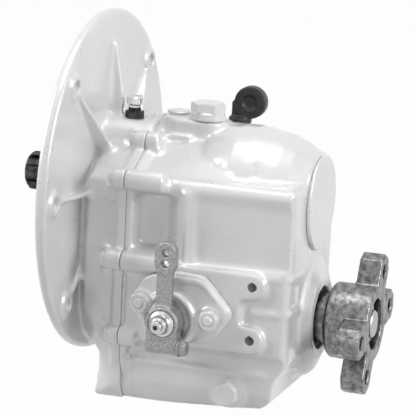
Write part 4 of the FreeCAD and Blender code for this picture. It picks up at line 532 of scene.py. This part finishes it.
PAINT = casting_paint()
PAINTED_OVER = ("case_gasket", "filler_washer", "drain_washer")
MATERIALS = {
    "casing_paint": PAINT,
    "painted_steel": PAINT,
    "bright_steel": bright_steel(),
    "coupling_steel": coupling_steel(),
    "black_steel": black_steel(),
    "gear_steel": gear_steel(),
    "zinc_steel": zinc_steel(),
    "chrome": chrome(),
    "bronze": bronze(),
    "copper_washer": copper(),
    "rubber": rubber(),
    "gasket": gasket(),
    "black_plastic": black_plastic(),
}


def flange_zones():
    """Zones round the six bolt holes of the engine flange."""
    holes = MOUNTS["engine_flange_bolts"]["dims"]
    half = holes["spacing_x_mm"] * MM / 2
    reach = MOUNTS["engine_flange_side_bolts"]["dims"]["spacing_x_mm"] * MM / 2
    places = [(y, z) for y in (-half, half) for z in (-half, half)] + [(-reach, 0.0), (reach, 0.0)]
    radius = holes["hole_r_mm"] * MM + 1.5 * MM
    return [((0.0, y, z), (1.0, 0.0, 0.0), radius, 0.02) for y, z in places]


def ear_zones():
    return [hole_zone(name, 1.6 * MM, 0.02) for name in ("bracket_hole_upper", "bracket_hole_lower")]


def joint_zone():
    """The faces where the housings meet keep sharp edges, so that no groove opens."""
    low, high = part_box("case_gasket")
    return (((low[0] + high[0]) / 2, 0.0, 0.0), (1.0, 0.0, 0.0), 0.3, 2.2 * MM)


def fine_front_boxes():
    """Places on the front housing with tight corners: the flange and the joint's lip."""
    low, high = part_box("front_housing")
    start = (low[0] - PAST, low[1] - PAST, low[2] - PAST)
    flange = (start, (0.017, high[1] + PAST, high[2] + PAST))
    lip_start = (high[0] - 0.012, low[1] - PAST, low[2] - PAST)
    lip = (lip_start, (high[0] + PAST, high[1] + PAST, LIP_TOP))
    return [flange, lip]


def fine_rear_boxes():
    """Places on the rear housing with tight corners: the joint's lip, windows, ledges and ridge."""
    low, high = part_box("rear_housing")
    start = (low[0] - PAST, low[1] - PAST, low[2] - PAST)
    lip = (start, (low[0] + 0.009, high[1] + PAST, LIP_TOP))
    slot = ((low[0], -0.026, 0.028), (0.082, -0.010, 0.045))
    side = ((low[0], low[1] - PAST, -0.128), (high[0], -0.054, 0.010))
    corner = ((0.150, low[1] - PAST, -0.082), (high[0], -0.030, -0.036))
    return [lip, slot, side, corner]


def thin_rear_boxes():
    """The thin wall in the far side's window, which a wide rounding would cut away."""
    low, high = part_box("rear_housing")
    return [((0.086, 0.050, -0.104), (0.136, high[1] + PAST, -0.048))]


def dipstick_zone():
    """The bore under the dipstick's handle stays open and sharp."""
    low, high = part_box("dipstick_rod")
    point = ((low[0] + high[0]) / 2, (low[1] + high[1]) / 2, high[2])
    radius = (high[0] - low[0]) / 2 + 2.5 * MM
    return (point, (0.0, 0.0, 1.0), radius, high[2] - low[2])


def soft_rear_boxes():
    """The wide rounded edge between the side wall and the roof, behind the pillar."""
    low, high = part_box("rear_housing")
    return [((0.096, low[1] - PAST, -0.004), (high[0] - 0.030, -0.040, 0.034))]


def build_castings():
    seal_low, seal_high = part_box("output_seal")
    seal_r = (seal_high[2] - seal_low[2]) / 2
    seal_centre = (seal_high[0], 0.0, (seal_low[2] + seal_high[2]) / 2)
    seal_zone = (seal_centre, (1.0, 0.0, 0.0), seal_r + 1.5 * MM, 0.02)
    front_zones = flange_zones() + [joint_zone()]
    rear_zones = ear_zones() + [seal_zone, joint_zone(), dipstick_zone()]
    front_regions = [(1.4 * MM, 0.8 * MM, fine_front_boxes())]
    rear_regions = [
        (2.2 * MM, 1.0 * MM, fine_rear_boxes()),
        (HOUSING_FILLET, 6.0 * MM, soft_rear_boxes()),
        (1.4 * MM, 0.4 * MM, thin_rear_boxes()),
    ]
    made = [
        casting("front_housing", HOUSING_VOXEL, HOUSING_FILLET, 1.2 * MM, front_zones, front_regions),
        casting("rear_housing", HOUSING_VOXEL, HOUSING_FILLET, 1.8 * MM, rear_zones, rear_regions),
        casting("shift_cover", 0.5 * MM, 1.6 * MM, 0.7 * MM),
        casting("rear_bearing_cap", 0.6 * MM, 1.0 * MM, 0.8 * MM),
    ]
    for piece in made:
        dress(piece, PAINT)
    dress(casting("shift_lever", 0.35 * MM, 0.8 * MM, 0.7 * MM), MATERIALS["zinc_steel"])
    dress(casting("output_coupling", 0.5 * MM, 1.2 * MM, 0.6 * MM), MATERIALS["coupling_steel"])
    dress(casting("dipstick_handle", 0.35 * MM, 1.5 * MM, 0.9 * MM), MATERIALS["black_plastic"])


def build_nodes():
    """Carried-over CAD pieces, each dressed in its material."""
    for node, obj in NODES.items():
        dress(obj, MATERIALS[slot_of(node)])
    for node in PAINTED_OVER:
        dress(NODES[node], PAINT)
    dress(NODES["lever_clamp_bolt"], MATERIALS["zinc_steel"])


build_castings()
build_nodes()
add_floor()
add_world()
for lamp in LAMPS:
    area_light(*lamp)
add_camera()
bpy.context.scene.view_settings.view_transform = "Standard"
